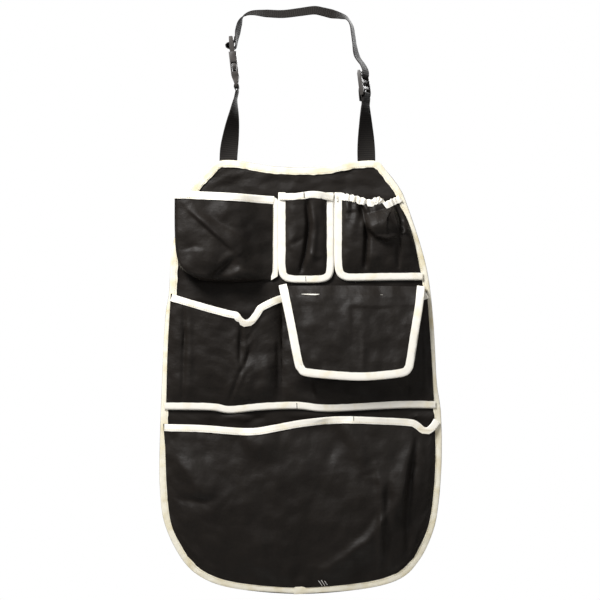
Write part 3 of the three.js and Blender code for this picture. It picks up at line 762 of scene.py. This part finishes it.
def middle_stand_off(u, v, x, z):
    left = np.clip((x / MM + MIDDLE_SIDE) / (MIDDLE_SEAM + MIDDLE_SIDE), 0, 1)
    right = np.clip((x / MM - MIDDLE_SEAM) / (MIDDLE_SIDE - MIDDLE_SEAM), 0, 1)
    belly = np.where(x / MM < MIDDLE_SEAM, 9.5 * swell(left, 8), 9 * swell(right, 8))
    belly = 2.5 + belly * (1 - (1 - v) ** 6)  # its sides lie over the panel's binding
    folds = creases(x, z, MIDDLE_FOLDS)
    slack = rumple(x, z, 45, 60, 4.0, 7) + rumple(x, z, 16, 24, 1.0, 8)
    held = swell(u, 12) * rise(v, 0, 0.12) * rise(np.abs(x / MM - MIDDLE_SEAM), 1.5, 8)
    return belly * MM + (folds + slack) * held


middle_plan = between(MIDDLE_LEFT, MIDDLE_RIGHT, MIDDLE_BASE, MIDDLE_MOUTH)
middle_pocket = hung_cloth("middle_pocket_cloth", 170, 70, middle_plan, middle_stand_off)

SEAM_SHARE = mouth_share(middle_plan, -18)  # under the flap's left tape
middle_place = laid_at(middle_plan, middle_stand_off)
middle_left_tape, left_seam = mouth_tape(
    "middle_left_mouth_tape", middle_place, middle_plan.size[1], 0.006, SEAM_SHARE - 0.002,
)
middle_right_tape, right_seam = mouth_tape(
    "middle_right_mouth_tape", middle_place, middle_plan.size[1], SEAM_SHARE + 0.002, 0.994,
)
BASE_ROUTE = [(x, -2.2, z - 8.5) for x, z in [(-190, -542), *MIDDLE_BASE[1:-1], (190, -540)]]
middle_base_tape = folded_tape("middle_base_tape", BASE_ROUTE, 1, NARROW_TAPE, 1.2)
middle_stitches = sew(
    "middle_pocket_stitches",
    [left_seam, right_seam, beside(BASE_ROUTE, 1, 7.6, 1.65)],
    cream_thread,
)
MIDDLE_SEAM_LINE = [(MIDDLE_SEAM, -2.4, z) for z in (-405, -450, -500, -536)]
seam_stitches = sew("middle_seam_stitches", [MIDDLE_SEAM_LINE], black_thread)

# %% [markdown]
# ## The flap
# The flap is sewn to the panel above the right-hand pocket, stands off over the pocket's mouth and
# hangs down its front. It is bound on three sides, and inside it is a patch of hook fastener that
# presses on a patch of loops.

# %% Flap
FLAP_LEFT = [(3, -501), (-6, -486), (-17, -430), (-28, -377.5)]
FLAP_RIGHT = [(149, -501), (157, -487), (164, -440), (173, -378.5)]
FLAP_BASE = [(3, -501), (40, -505.5), (83, -508), (120, -505.5), (149, -501)]
FLAP_TOP = [(-28, -377.5), (70, -377), (173, -378.5)]


def flap_hang(z):
    """How far the flap stands off the panel at a height, from its seam downwards."""
    return np.interp(-z / MM, [375, 379, 392, 430, 446, 520], [3.6, 6, 14.8, 22, 23.5, 28]) * MM


FLAP_FOLDS = [
    ([(62, -404), (110, -405), (166, -403)], 8, 1.6, 3),
    ([(-22, -402), (30, -398), (70, -404)], 10, 1.6, 5),
    ([(73, -400), (75, -450), (74, -497)], 10, -2.4, 3),
    ([(86, -440), (88, -465), (87, -494)], 4, 2, 4),
    ([(40, -384), (56, -396), (62, -410)], 12, -3),
    ([(96, -484), (108, -480), (118, -474)], 6, -1.6, 6),
    ([(140, -385), (130, -430), (126, -480)], 18, -2),
    ([(10, -410), (26, -450), (30, -490)], 20, 2),
]


def flap_stand_off(u, v, x, z):
    folds = creases(x, z, FLAP_FOLDS)
    slack = rumple(x, z, 55, 55, 2.4, 11) + rumple(x, z, 18, 18, 0.5, 12)
    shape = no_lower(folds + slack, -0.5 * MM)
    return flap_hang(z) + shape * rise(1 - v, 0, 0.12) * swell(u, 8) * rise(v, 0, 0.14)


flap_plan = between(FLAP_LEFT, FLAP_RIGHT, FLAP_BASE, FLAP_TOP)
FLAP_THICK = 0.0012
flap_cloth = hung_cloth("flap_cloth", 90, 64, flap_plan, flap_stand_off, FLAP_THICK)


FLAP_EDGE = [
    (-29.4, -376.8), (-26, -392), (-18, -430), (-7.5, -484), (-3, -495), (6, -502.3), (40, -506.3),
    (83, -508.8), (120, -506.5), (146, -502.5), (155, -495), (158.5, -484), (165.5, -440), (171, -408),
    (175, -378.4),
]
FLAP_ROUTE = [(x, -flap_hang(z * MM) / MM, z) for x, z in FLAP_EDGE]
flap_tape = folded_tape(
    "flap_edge_tape", FLAP_ROUTE, 1, WIDE_TAPE, 1.7, surface=lambda u, reach, z: -flap_hang(z), wander=0.3,
)
flap_seam = [(x, -flap_hang(z * MM) / MM - 2.2, z) for x, y, z in beside(FLAP_ROUTE, 1, 8.2)]
flap_stitches = sew("flap_edge_stitches", [flap_seam], cream_thread)

# %% Hook and loop patches
PILE_BACKING = 0.0006


def pile_patch(name, node, front, height):
    """A patch of pile in the place of a CAD patch, with tufts this tall on its front or its back."""
    low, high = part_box(node)
    face = low.y if front else high.y
    out = -1.0 if front else 1.0

    def place(u, v):
        x = low.x + (high.x - low.x) * u
        z = low.z + (high.z - low.z) * v
        edge = swell(u, 30) * swell(v, 30)
        tufts = rumple(x, z, 1.6, 1.6, height, 21) + rumple(x, z, 0.7, 0.7, height / 2, 22)
        y = face - out * PILE_BACKING + out * (np.abs(tufts) * edge)
        return np.stack([x, y, z], -1)

    return cloth(name, 60, 80, place, (high.x - low.x, high.z - low.z), PILE_BACKING, loop_pile, offset=out)


loop_patch = pile_patch("loop_fastener_patch", "pocket_loop_patch", True, 0.9)
hook_patch = pile_patch("hook_fastener_patch", "flap_hook_patch", False, 0.6)

# %% [markdown]
# ## The top left pocket
# This pocket is a bellows: its front is wider than the panel behind it, so it stands out and hangs
# past the shoulder. The cloth runs back from its left edge to the panel as a side wall. Its base
# sags into a round corner, and a soft diagonal fold crosses the front.

# %% Top left pocket
BELLOWS_LEFT = [(-150, -364), (-166, -352), (-172.5, -333), (-175, -300), (-175.5, -247)]
BELLOWS_RIGHT = [(-37, -368), (-37, -310), (-36, -254)]
BELLOWS_BASE = [(-150, -364), (-136, -369.5), (-100, -372), (-72, -371.5), (-37, -368)]
BELLOWS_MOUTH = [(-175.5, -247), (-140, -248.2), (-90, -250.6), (-36, -254)]
WALL_SHARE = 0.14  # of the cloth's width
WALL_SEAM_INSIDE = 0.007  # from the panel's side
WALL_FOOT = 2.4 * MM  # the wall starts this far off the panel's middle
BASE_FOOT = 2.6 * MM
bellows_plan = between(BELLOWS_LEFT, BELLOWS_RIGHT, BELLOWS_BASE, BELLOWS_MOUTH)


BELLOWS_FOLDS = [
    ([(-158, -268), (-128, -295), (-92, -327)], 12, 5.5, 2.5),
    ([(-152, -268), (-116, -286), (-84, -304), (-62, -328)], 9, -3, 6),
    ([(-128, -369), (-108, -352), (-90, -338)], 4, -8, 18),
    ([(-166, -327), (-146, -323), (-134, -326)], 6, -2.5, 3),
    ([(-156, -334), (-136, -344), (-116, -350)], 16, 4, 22),
    ([(-98, -256), (-106, -274), (-114, -286)], 12, 3.5),
    ([(-98, -366), (-84, -356), (-60, -364)], 5, 3.5, 9),
    ([(-50, -360), (-64, -330), (-70, -300)], 12, -3),
]


def bellows_front(u, v, x, z):
    depth = 26 - 22.5 * rise(u, 0.55, 1.0) + 7 * np.sin(np.pi * np.clip(1 - v, 0, 1)) * swell(u, 3)
    folds = creases(x, z, BELLOWS_FOLDS)
    slack = rumple(x, z, 40, 40, 2.5, 31) + rumple(x, z, 14, 14, 0.6, 32)
    return depth, (folds + slack) * swell(u, 6)


def bellows_place(u, v):
    front_u = np.clip((u - WALL_SHARE) / (1 - WALL_SHARE), 0, 1)
    spot = bellows_plan(front_u, v)
    x, z = spot[:, 0], spot[:, 1]
    depth, folds = bellows_front(front_u, v, x, z)
    round_base = np.sqrt(1 - (1 - np.clip(v / 0.11, 0, 1)) ** 2)
    round_left = np.sqrt(1 - (1 - np.clip((front_u + 0.004) / 0.045, 0, 1)) ** 2)
    stand = BASE_FOOT + (depth * MM + folds - BASE_FOOT) * round_base * (0.25 + 0.75 * round_left)
    wall = np.clip(u / WALL_SHARE, 0, 1)
    left = bellows_plan(np.zeros(len(u)), v)
    side = np.array(LEFT_SIDE[::-1]) * MM
    inner_x = np.interp(z, side[:, 1], side[:, 0] + WALL_SEAM_INSIDE)
    seam_x = np.maximum(inner_x, left[:, 0] + 0.001)
    in_wall = u < WALL_SHARE
    x = np.where(in_wall, seam_x + (left[:, 0] - seam_x) * wall**0.7, x)
    stand = np.where(in_wall, WALL_FOOT + (stand - WALL_FOOT) * wall**1.6, stand)
    return np.stack([x, -stand, z], -1)


bellows_size = (bellows_plan.size[0] / (1 - WALL_SHARE), bellows_plan.size[1])
bellows = cloth("top_left_pocket_cloth", 110, 80, bellows_place, bellows_size, POLYESTER_THICK, black_cloth)
top_left_mouth_tape, bellows_seam = mouth_tape(
    "top_left_mouth_tape", bellows_place, bellows_plan.size[1], WALL_SHARE + 0.001, 0.999,
    width=WIDE_TAPE, half=1.25, count=26, raised=2.5,
)
SIDE_ROUTE = [(-30.6, -2.9, -252.5), (-30.8, -2.9, -300), (-30.4, -2.9, -340), (-31, -2.9, -363)]
SIDE_TAPE = 9.4


def side_tape_ends(u, q, x, y, z):
    """The top's outer corner is round, and the bottom is cut aslant."""
    round_corner = 1 - np.sqrt(1 - (1 - np.clip(u / 0.06, 0, 1)) ** 2)
    return x - 0.006 * round_corner * (1 - np.abs(q)), y, z - 0.0065 * np.abs(q) * rise(u, 0.9, 1.0)


top_left_side_tape = folded_tape("top_left_side_tape", SIDE_ROUTE, -1, SIDE_TAPE, 1.2, extra=side_tape_ends)
top_left_stitches = sew(
    "top_left_pocket_stitches",
    [bellows_seam, [(-37.6, -4.6, z) for z in (-262, -300, -340, -364)]],
    cream_thread,
)

# %% [markdown]
# ## The two narrow slots
# A narrow patch is stitched down its middle, so that it makes two slots. The mouth's tape puckers,
# and one tape runs round the sides and the base with soft corners.

# %% Narrow slots
SLOT_SEAM = [(9, -250), (12.5, -292), (8, -330), (-1, -364)]
SLOT_LEFT = [(-21, -364), (-21.5, -300), (-21, -249)]
SLOT_RIGHT = [(38, -364), (38.5, -300), (38, -249)]
SLOT_BASE = [(-21, -364), (8, -365), (38, -364)]
SLOT_MOUTH = [(-21, -249.5), (-4, -247), (9, -245.6), (22, -247), (38, -249.5)]


SLOT_FOLDS = [
    (SLOT_SEAM, 3.6, -8),
    ([(18, -262), (22, -300), (16, -345)], 4, 2.5),
    ([(-10, -270), (-6, -300), (-12, -330)], 5, 1),
    ([(-16, -320), (2, -312), (10, -305)], 4, -1.4),
    ([(12, -330), (30, -338)], 4, 2.2),
]


def slot_stand_off(u, v, x, z):
    belly = 2.4 + 8.5 * swell(u, 5) * (1 - (1 - v) ** 7)
    folds = creases(x, z, SLOT_FOLDS)
    slack = rumple(x, z, 14, 22, 1.6, 41)
    held = swell(u, 8) * rise(v, 0, 0.1) * rise(1 - v, 0.04, 0.16)
    return np.maximum(belly * MM + (folds + slack) * held, 2.0 * MM)


slot_plan = between(SLOT_LEFT, SLOT_RIGHT, SLOT_BASE, SLOT_MOUTH)
slots = hung_cloth("narrow_slots_cloth", 56, 84, slot_plan, slot_stand_off)
SLOT_TAPE_ROUTE = [
    (-29.5, -4.6, -247.2), (-20, -6.6, -247.4), (-8, -9.8, -247), (4, -10.9, -245.7), (16, -10.9, -244.4),
    (28, -9.4, -245), (36, -7, -246.4), (47.4, -4.6, -248.6),
]
slot_mouth_tape = folded_tape("narrow_slots_mouth_tape", SLOT_TAPE_ROUTE, -1, NARROW_TAPE, 1.3, wander=0.6)
FRAME_ROUTE = [
    (-29.8, -2.6, -246), (-30.2, -2.6, -280), (-30, -2.6, -320), (-29.8, -2.6, -353), (-25, -2.6, -366.5),
    (-13, -2.6, -371.8), (8, -2.6, -372.5), (30, -2.6, -371.8), (42.4, -2.6, -366.5), (47, -2.6, -353),
    (47.4, -2.6, -320), (47.4, -2.6, -280), (46.8, -2.6, -246),
]
slot_frame_tape = folded_tape("narrow_slots_frame_tape", FRAME_ROUTE, 1, NARROW_TAPE, 1.3)
slot_stitches = sew(
    "narrow_slots_stitches",
    [beside(SLOT_TAPE_ROUTE, -1, 7.8, 1.8), beside(FRAME_ROUTE, 1, 7.4, 1.8)],
    cream_thread,
)
slot_seam_stitches = sew(
    "narrow_slots_seam_stitches", [[(x, -4.3, z) for x, z in SLOT_SEAM]], black_thread,
)

# %% [markdown]
# ## The gathered pocket
# Elastic inside the mouth's tape draws the cloth into gathers: the tape crumples into scallops and
# the cloth below it puffs out between folds.

# %% Gathered pocket
GATHER_LEFT = [(57, -359), (57.5, -300), (58, -250)]
GATHER_RIGHT = [(169, -359), (161, -318), (150, -283), (134, -256)]
GATHER_BASE = [(57, -359), (110, -360), (169, -359)]
GATHER_MOUTH = [
    (58, -250), (76, -253), (88, -256), (98, -258.5), (108, -254.5), (114, -255.6), (120, -260.5),
    (126, -257.5), (134, -254),
]


GATHER_FOLDS = [
    ([(86, -262), (93, -286), (94, -312), (91, -358)], 4, -8, 4),
    ([(92, -276), (97, -295), (108, -307), (121, -310.5), (138, -306)], 44, 13, 3),
    ([(130, -266), (136, -284), (138, -302)], 3, 9, 38),
    ([(133, -264), (140, -286), (142, -306)], 7, -5, 3),
    ([(139, -306), (139, -330), (138, -358)], 3, -3.5, 5),
    ([(66, -262), (74, -285), (70, -312)], 8, 1.6),
    ([(60, -276), (70, -275), (82, -274)], 3, -1.6, 5),
    ([(140, -290), (148, -298), (146, -306)], 5, 4, 4),
]


LOBE_AT = 118  # one lobe here puffs out smooth
LOBE_REACH = 20


def gather_stand_off(u, v, x, z):
    belly = 2.2 + 12 * swell(u, 6) * (1 - (1 - v) ** 6) * (1 - 0.5 * rise(v, 0.5, 1.0))
    near_mouth = rise(v, 0.45, 1.0)
    calm = 1 - 0.75 * rise(v, 0.86, 0.97)  # the tape holds the mouth itself nearly straight
    gathers = 2.2 * np.sin(2 * np.pi * (6.5 * u + 0.35 * np.sin(5 * v))) * near_mouth * swell(u, 10) * calm
    gathers = gathers * (1 - 0.85 * np.exp(-(((x / MM - LOBE_AT) / LOBE_REACH) ** 2)))
    folds = creases(x, z, GATHER_FOLDS)
    slack = rumple(x, z, 20, 30, 1.6, 51) + rumple(x, z, 9, 9, 0.5, 52)
    return (belly + gathers) * MM + (folds + slack) * swell(u, 9) * rise(v, 0, 0.1) * calm


gather_plan = between(GATHER_LEFT, GATHER_RIGHT, GATHER_BASE, GATHER_MOUTH)
gathered = hung_cloth("gathered_pocket_cloth", 120, 96, gather_plan, gather_stand_off)
gather_mouth = laid_at(gather_plan, gather_stand_off)(np.linspace(0, 1, 40), np.ones(40)) / MM
above_mouth = [(x, y, z + 3.2) for x, y, z in gather_mouth.tolist()]
gather_route = [(49, -4.6, -248.8), *above_mouth, (138, -3.5, -250)]


SCALLOPS = 14
PUCKERS = 33  # finer ones between them


def scallops(u, q, x, y, z):
    turn = 2 * np.pi * u
    push = np.sin(SCALLOPS * turn + 1.4 * np.sin(9 * u))
    lift = np.sin(SCALLOPS * turn + 0.9 + 2.0 * np.sin(7 * u)) + 0.5 * np.sin(PUCKERS * turn)
    held = swell(u, 14)
    return x, y - 0.0007 * push * held, z + 0.0006 * lift * held * (1.1 - 0.5 * np.abs(q))


gathered_tape = folded_tape(
    "gathered_mouth_tape", gather_route, -1, NARROW_TAPE, 1.6, wander=0.8, extra=scallops, step=0.0009,
)
CORNER_ROUTE = [
    (49.2, -2.6, -246), (48.8, -2.6, -290), (49, -2.6, -344), (52.5, -2.6, -361), (62, -2.6, -368.4),
    (78, -2.6, -369.7), (120, -2.6, -369), (172, -2.6, -368.5),
]
gathered_side_tape = folded_tape("gathered_side_tape", CORNER_ROUTE, 1, 9.8, 1.3)
gathered_stitches = sew(
    "gathered_pocket_stitches",
    [beside(CORNER_ROUTE, 1, 7.6, 1.8), beside(gather_route, -1, 5.2, 2.2)],
    cream_thread,
)


def elastic_place(u, v):
    spot = along(gather_route)(0.03 + 0.9 * u)
    return np.stack([spot[:, 0], spot[:, 1], spot[:, 2] - 0.0015 - 0.005 * v], -1)


elastic = cloth("mouth_elastic", 90, 4, elastic_place, (0.12, 0.006), 0.0006, cream_tape)

# %% [markdown]
# ## Webbing
# The tabs and the strap are 25 mm webbing. It can twist and it can curve across its face, but not
# sideways, so each band is drawn as a middle line with the direction that its width points in.

# %% A band of webbing
WEB_HALF = 12.5
WEB_THICK = 0.0013


def webbing(name, points, stops, columns=10, step=0.003, first=0.0, last=1.0):
    """A band along points, between two shares of their length, its width turned as the stops say:
    (share of the length, direction)."""
    path = along(points)
    length = path.length * (last - first)
    shares = [share for share, way in stops]
    ways = np.array([way for share, way in stops], float)

    def place(u, v):
        v = first + (last - first) * v
        spot = path(v)
        tangent = path(np.clip(v + 0.003, 0, 1)) - path(np.clip(v - 0.003, 0, 1))
        tangent /= np.linalg.norm(tangent, axis=1)[:, None]
        way = np.stack([np.interp(v, shares, ways[:, k]) for k in range(3)], -1)
        way -= tangent * np.sum(way * tangent, axis=1)[:, None]
        way /= np.linalg.norm(way, axis=1)[:, None]
        return spot + way * ((u[:, None] - 0.5) * 2 * WEB_HALF * MM)

    size = (2 * WEB_HALF * MM, length)
    return cloth(name, columns, round(length / step), place, size, WEB_THICK, black_webbing)


def width_way(degrees):
    return (math.cos(math.radians(degrees)), math.sin(math.radians(degrees)), 0)


def fitting_frame(origin, lean, turn):
    """Places in a fitting: x across it, y through it, z along it, in millimetres."""
    turned = Matrix.Rotation(math.radians(turn), 4, "Z") @ Matrix.Rotation(math.radians(lean), 4, "X")
    matrix = Matrix.Translation(origin) @ turned
    return lambda through, along_it: tuple(matrix @ Vector((0, through, along_it)))


in_buckle = fitting_frame((-89, 0, -99), 6.5, -90)
in_lock = fitting_frame((92, 0, -109.5), 7.7, -111)

# %% The two tabs
EYE_FRONT = [(0.9, -5), (1.2, -2.6), (2.7, -0.4), (3.1, 1.2), (2.9, 3.6)]
EYE = [*EYE_FRONT, (0, 5.0), *[(-y, z) for y, z in EYE_FRONT[::-1]]]
LEFT_FOOT = -100.8
RIGHT_FOOT = 93.5


def tab(name, foot_x, climb, bar, turns):
    """A doubled tab: up from the panel, round the fitting's bar and down again. turns are the width's
    directions, in degrees, at shares of the length, up to the bar."""
    front = [(foot_x, 3.2, -216), (foot_x, 3.2, -206), *climb]
    over = [bar(y, z) for y, z in EYE]
    down = [(x + 0.2, y - 1.6, z - 1) for x, y, z in climb[::-1]]
    route = [*front, *over, *down, (foot_x, 1.6, -206), (foot_x, 1.6, -216)]
    both = [*turns, *[(1 - share, degrees) for share, degrees in turns[::-1]]]
    return webbing(name, route, [(share, width_way(degrees)) for share, degrees in both])


left_tab = tab(
    "left_tab_webbing", LEFT_FOOT,
    [(-100, 2.8, -186), (-96.5, 2, -160), (-93, 1.4, -135), (-91, 1.6, -116)], in_buckle,
    [(0, 180), (0.08, 180), (0.25, 222), (0.4, 262), (0.47, 270)],
)
right_tab = tab(
    "right_tab_webbing", RIGHT_FOOT,
    [(93, 2.6, -186), (92.5, 2, -160), (92, 1.4, -135), (92, 1.2, -124)], in_lock,
    [(0, 180), (0.08, 180), (0.28, 222), (0.4, 243), (0.47, 249)],
)
tab_stitches = sew(
    "tab_bar_tacks",
    [[(x + 9, 4.3, -207), (x, 4.3, -207.4), (x - 9, 4.3, -207)] for x in (LEFT_FOOT, RIGHT_FOOT)],
    black_thread, every=1.0, long=1.5, wide=1.2,
)

# %% The strap
IN_PLUG = [
    (5.2, 71), (5, 68.6), (4.4, 66.2), (3, 64), (0, 63.2), (-3.8, 62.8), (-6, 59.2), (-3.8, 55.4), (0, 55.5),
    (4.2, 56), (6.2, 60.5), (7.2, 66),
]
OVER_TOP = [
    (-87.5, 0, -20), (-84.5, 0, -8), (-79, 0, 2), (-67, 0, 6.6), (-47, 0, 5.7), (-24, 0, 4.9), (0, 0, 7.7),
    (20, 0, 10.2), (32, 0, 8.1), (44, 0, 5.2), (57, 0, 2.3), (66, 0, -1.4), (72.3, 0, -11), (74.5, 0, -23),
    (76.5, 0, -37), (80, 0, -54),
]
IN_LADDER = [
    (2, 43), (4.4, 36), (4.5, 31), (3.4, 26.4), (0, 24.6), (-2.9, 23), (-3.2, 18), (-3.4, 11), (-4.6, 6),
    (-5.2, -8),
]
STRAP_ROUTE = [*(in_buckle(*p) for p in IN_PLUG), *OVER_TOP, *(in_lock(*p) for p in IN_LADDER)]
strap_marks = along(STRAP_ROUTE).marks
FIRST_OVER = len(IN_PLUG)
LAST_OVER = FIRST_OVER + len(OVER_TOP) - 1


def drooping(degrees):
    """The strap's front edge hangs this far below its back edge."""
    return (0, -math.cos(math.radians(degrees)), -math.sin(math.radians(degrees)))


STRAP_STOPS = [
    (0, width_way(270)), (4, width_way(270)), (6, width_way(256)), (8, width_way(270)),
    (FIRST_OVER - 2, width_way(268)), (FIRST_OVER, width_way(256)), (FIRST_OVER + 1, width_way(258)),
    (FIRST_OVER + 2, drooping(12)), (FIRST_OVER + 3, drooping(20)), (FIRST_OVER + 4, drooping(30)),
    (FIRST_OVER + 7, drooping(33)), (FIRST_OVER + 9, drooping(36)), (FIRST_OVER + 11, drooping(18)),
    (LAST_OVER - 3, width_way(258)), (LAST_OVER - 1, width_way(257)), (LAST_OVER, width_way(250)),
    (LAST_OVER + 2, width_way(249)), (len(STRAP_ROUTE) - 1, width_way(249)),
]
strap_stops = [(strap_marks[i], way) for i, way in STRAP_STOPS]
LOCK_BEND = strap_marks[LAST_OVER - 3]  # below this the strap leans with the lock
strap = webbing("strap_webbing", STRAP_ROUTE, strap_stops, step=0.002, last=LOCK_BEND)
strap_end = webbing("strap_end_webbing", STRAP_ROUTE, strap_stops, step=0.002, first=LOCK_BEND)

# %% [markdown]
# ## Buckle and ladder lock
# The plastic fittings keep the frame's shapes. Moulded edges are never sharp, so each one is
# copied, its faceted triangles are merged into flat faces, and every hard edge gets a small bevel.

# %% Rounded fittings
MOULD_RADIUS = 0.0004


def rounded_copy(node, name):
    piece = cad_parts[node].copy()
    piece.data = piece.data.copy()
    piece.parent = None
    piece.name = name
    for key in [k for k in piece.keys() if k.startswith("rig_")]:
        del piece[key]
    bpy.context.scene.collection.objects.link(piece)
    deselect()
    piece.select_set(True)
    bpy.context.view_layer.objects.active = piece
    bpy.ops.object.mode_set(mode="EDIT")
    bpy.ops.mesh.select_all(action="SELECT")
    bpy.ops.mesh.remove_doubles(threshold=0.00001)
    bpy.ops.mesh.dissolve_limited(angle_limit=math.radians(3))
    bpy.ops.object.mode_set(mode="OBJECT")
    use_modifier(
        piece, "BEVEL", width=MOULD_RADIUS, segments=3, limit_method="ANGLE", angle_limit=math.radians(28),
    )
    deselect()
    piece.select_set(True)
    bpy.ops.object.shade_smooth_by_angle(angle=math.radians(40))
    piece.data.materials.clear()
    piece.data.materials.append(black_plastic)
    print(name, len(piece.data.polygons), "faces")
    return piece


FITTINGS = {
    "buckle_socket": "neck_strap", "buckle_plug": "plug", "prong_front": "front_arm",
    "prong_rear": "rear_arm", "ladder_lock": "lock",
}
for node, body in FITTINGS.items():
    fitting = rounded_copy(node, node + "_moulding")
    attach(fitting, body)
    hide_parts(node)

# %% [markdown]
# ## Small signs of sewing
# The tape was cut in lengths, so a black thread crosses it where two seams start, and a few loose
# white ends stick out above the base. They are tiny, but a sewn thing without them looks printed.

# %% Thread ticks and ends
def across_tape(x, z, y, height=9.5, lean=0.3):
    return [(x + lean * t, y, z + height * (0.5 - t)) for t in np.linspace(0, 1, 4)]


thread_ticks = sew(
    "thread_ticks",
    [
        across_tape(5.5, -250, -12.9, 8), across_tape(8, -367.5, -4.6, 7),
        across_tape(-4.5, -545.5, -4.2, 8), across_tape(75, -564.5, -15.6),
    ],
    black_thread, every=2.0, long=2.6, wide=1.2,
)
thread_ends = sew(
    "loose_thread_ends",
    [
        [(31, -5, -798), (28.5, -7, -794), (26, -8, -790.5)],
        [(35, -5, -798), (32, -7.5, -793), (30, -8.5, -789.5)],
        [(38.5, -5, -797), (36.5, -6.5, -794), (34.5, -7.5, -791)],
    ],
    white_thread, every=1.4, long=2.0, wide=0.9,
)

# %% [markdown]
# ## What moves with what
# Most new pieces ride on a body of the frame and stand for the plain solid they replace. The tabs and
# the strap stay where they are made and replace their solids. The strap's lower end leans with the lock,
# so it is made as two lengths that meet above that bend.

# %% Bodies
def belongs(piece, body, slot, *nodes):
    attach(piece, body)
    if nodes:
        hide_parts(*nodes)


for piece, slot, *nodes in [
    (back_panel, "fabric", "back_panel"),
    (panel_tape, "tape", "panel_binding"),
    (panel_stitches, "tape"),
    (bottom_pocket, "fabric", "bottom_pocket"),
    (bottom_mouth_tape, "tape", "bottom_mouth_binding"),
    (bottom_mouth_stitches, "tape"),
    (middle_pocket, "fabric", "middle_pocket"),
    (middle_left_tape, "tape", "middle_left_mouth_binding"),
    (middle_right_tape, "tape", "middle_right_mouth_binding"),
    (middle_base_tape, "tape", "middle_base_binding"),
    (middle_stitches, "tape"),
    (seam_stitches, "fabric"),
    (loop_patch, "hook_and_loop", "pocket_loop_patch"),
    (bellows, "fabric", "top_left_pocket"),
    (top_left_mouth_tape, "tape", "top_left_mouth_binding"),
    (top_left_side_tape, "tape", "top_left_side_binding"),
    (top_left_stitches, "tape"),
    (slots, "fabric", "top_middle_pocket"),
    (slot_mouth_tape, "tape", "top_middle_mouth_binding"),
    (slot_frame_tape, "tape", "top_middle_frame_binding"),
    (slot_stitches, "tape"),
    (slot_seam_stitches, "fabric"),
    (gathered, "fabric", "top_right_pocket"),
    (gathered_tape, "tape", "top_right_mouth_binding"),
    (gathered_side_tape, "tape", "top_right_edge_binding"),
    (gathered_stitches, "tape"),
    (elastic, "elastic", "top_right_elastic"),
    (thread_ticks, "fabric"),
    (thread_ends, "tape"),
    (tab_stitches, "webbing"),
]:
    belongs(piece, "panel", slot, *nodes)
belongs(flap_cloth, "flap", "fabric", "flap")
belongs(flap_tape, "flap", "tape", "flap_binding")
belongs(flap_stitches, "flap", "tape")
belongs(hook_patch, "flap", "hook_and_loop", "flap_hook_patch")

for piece, node in [(left_tab, "left_tab"), (right_tab, "right_tab")]:
    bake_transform(piece)
    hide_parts(node)
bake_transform(strap)
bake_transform(strap_end)
for piece in (strap, strap_end):
    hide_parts("top_strap")
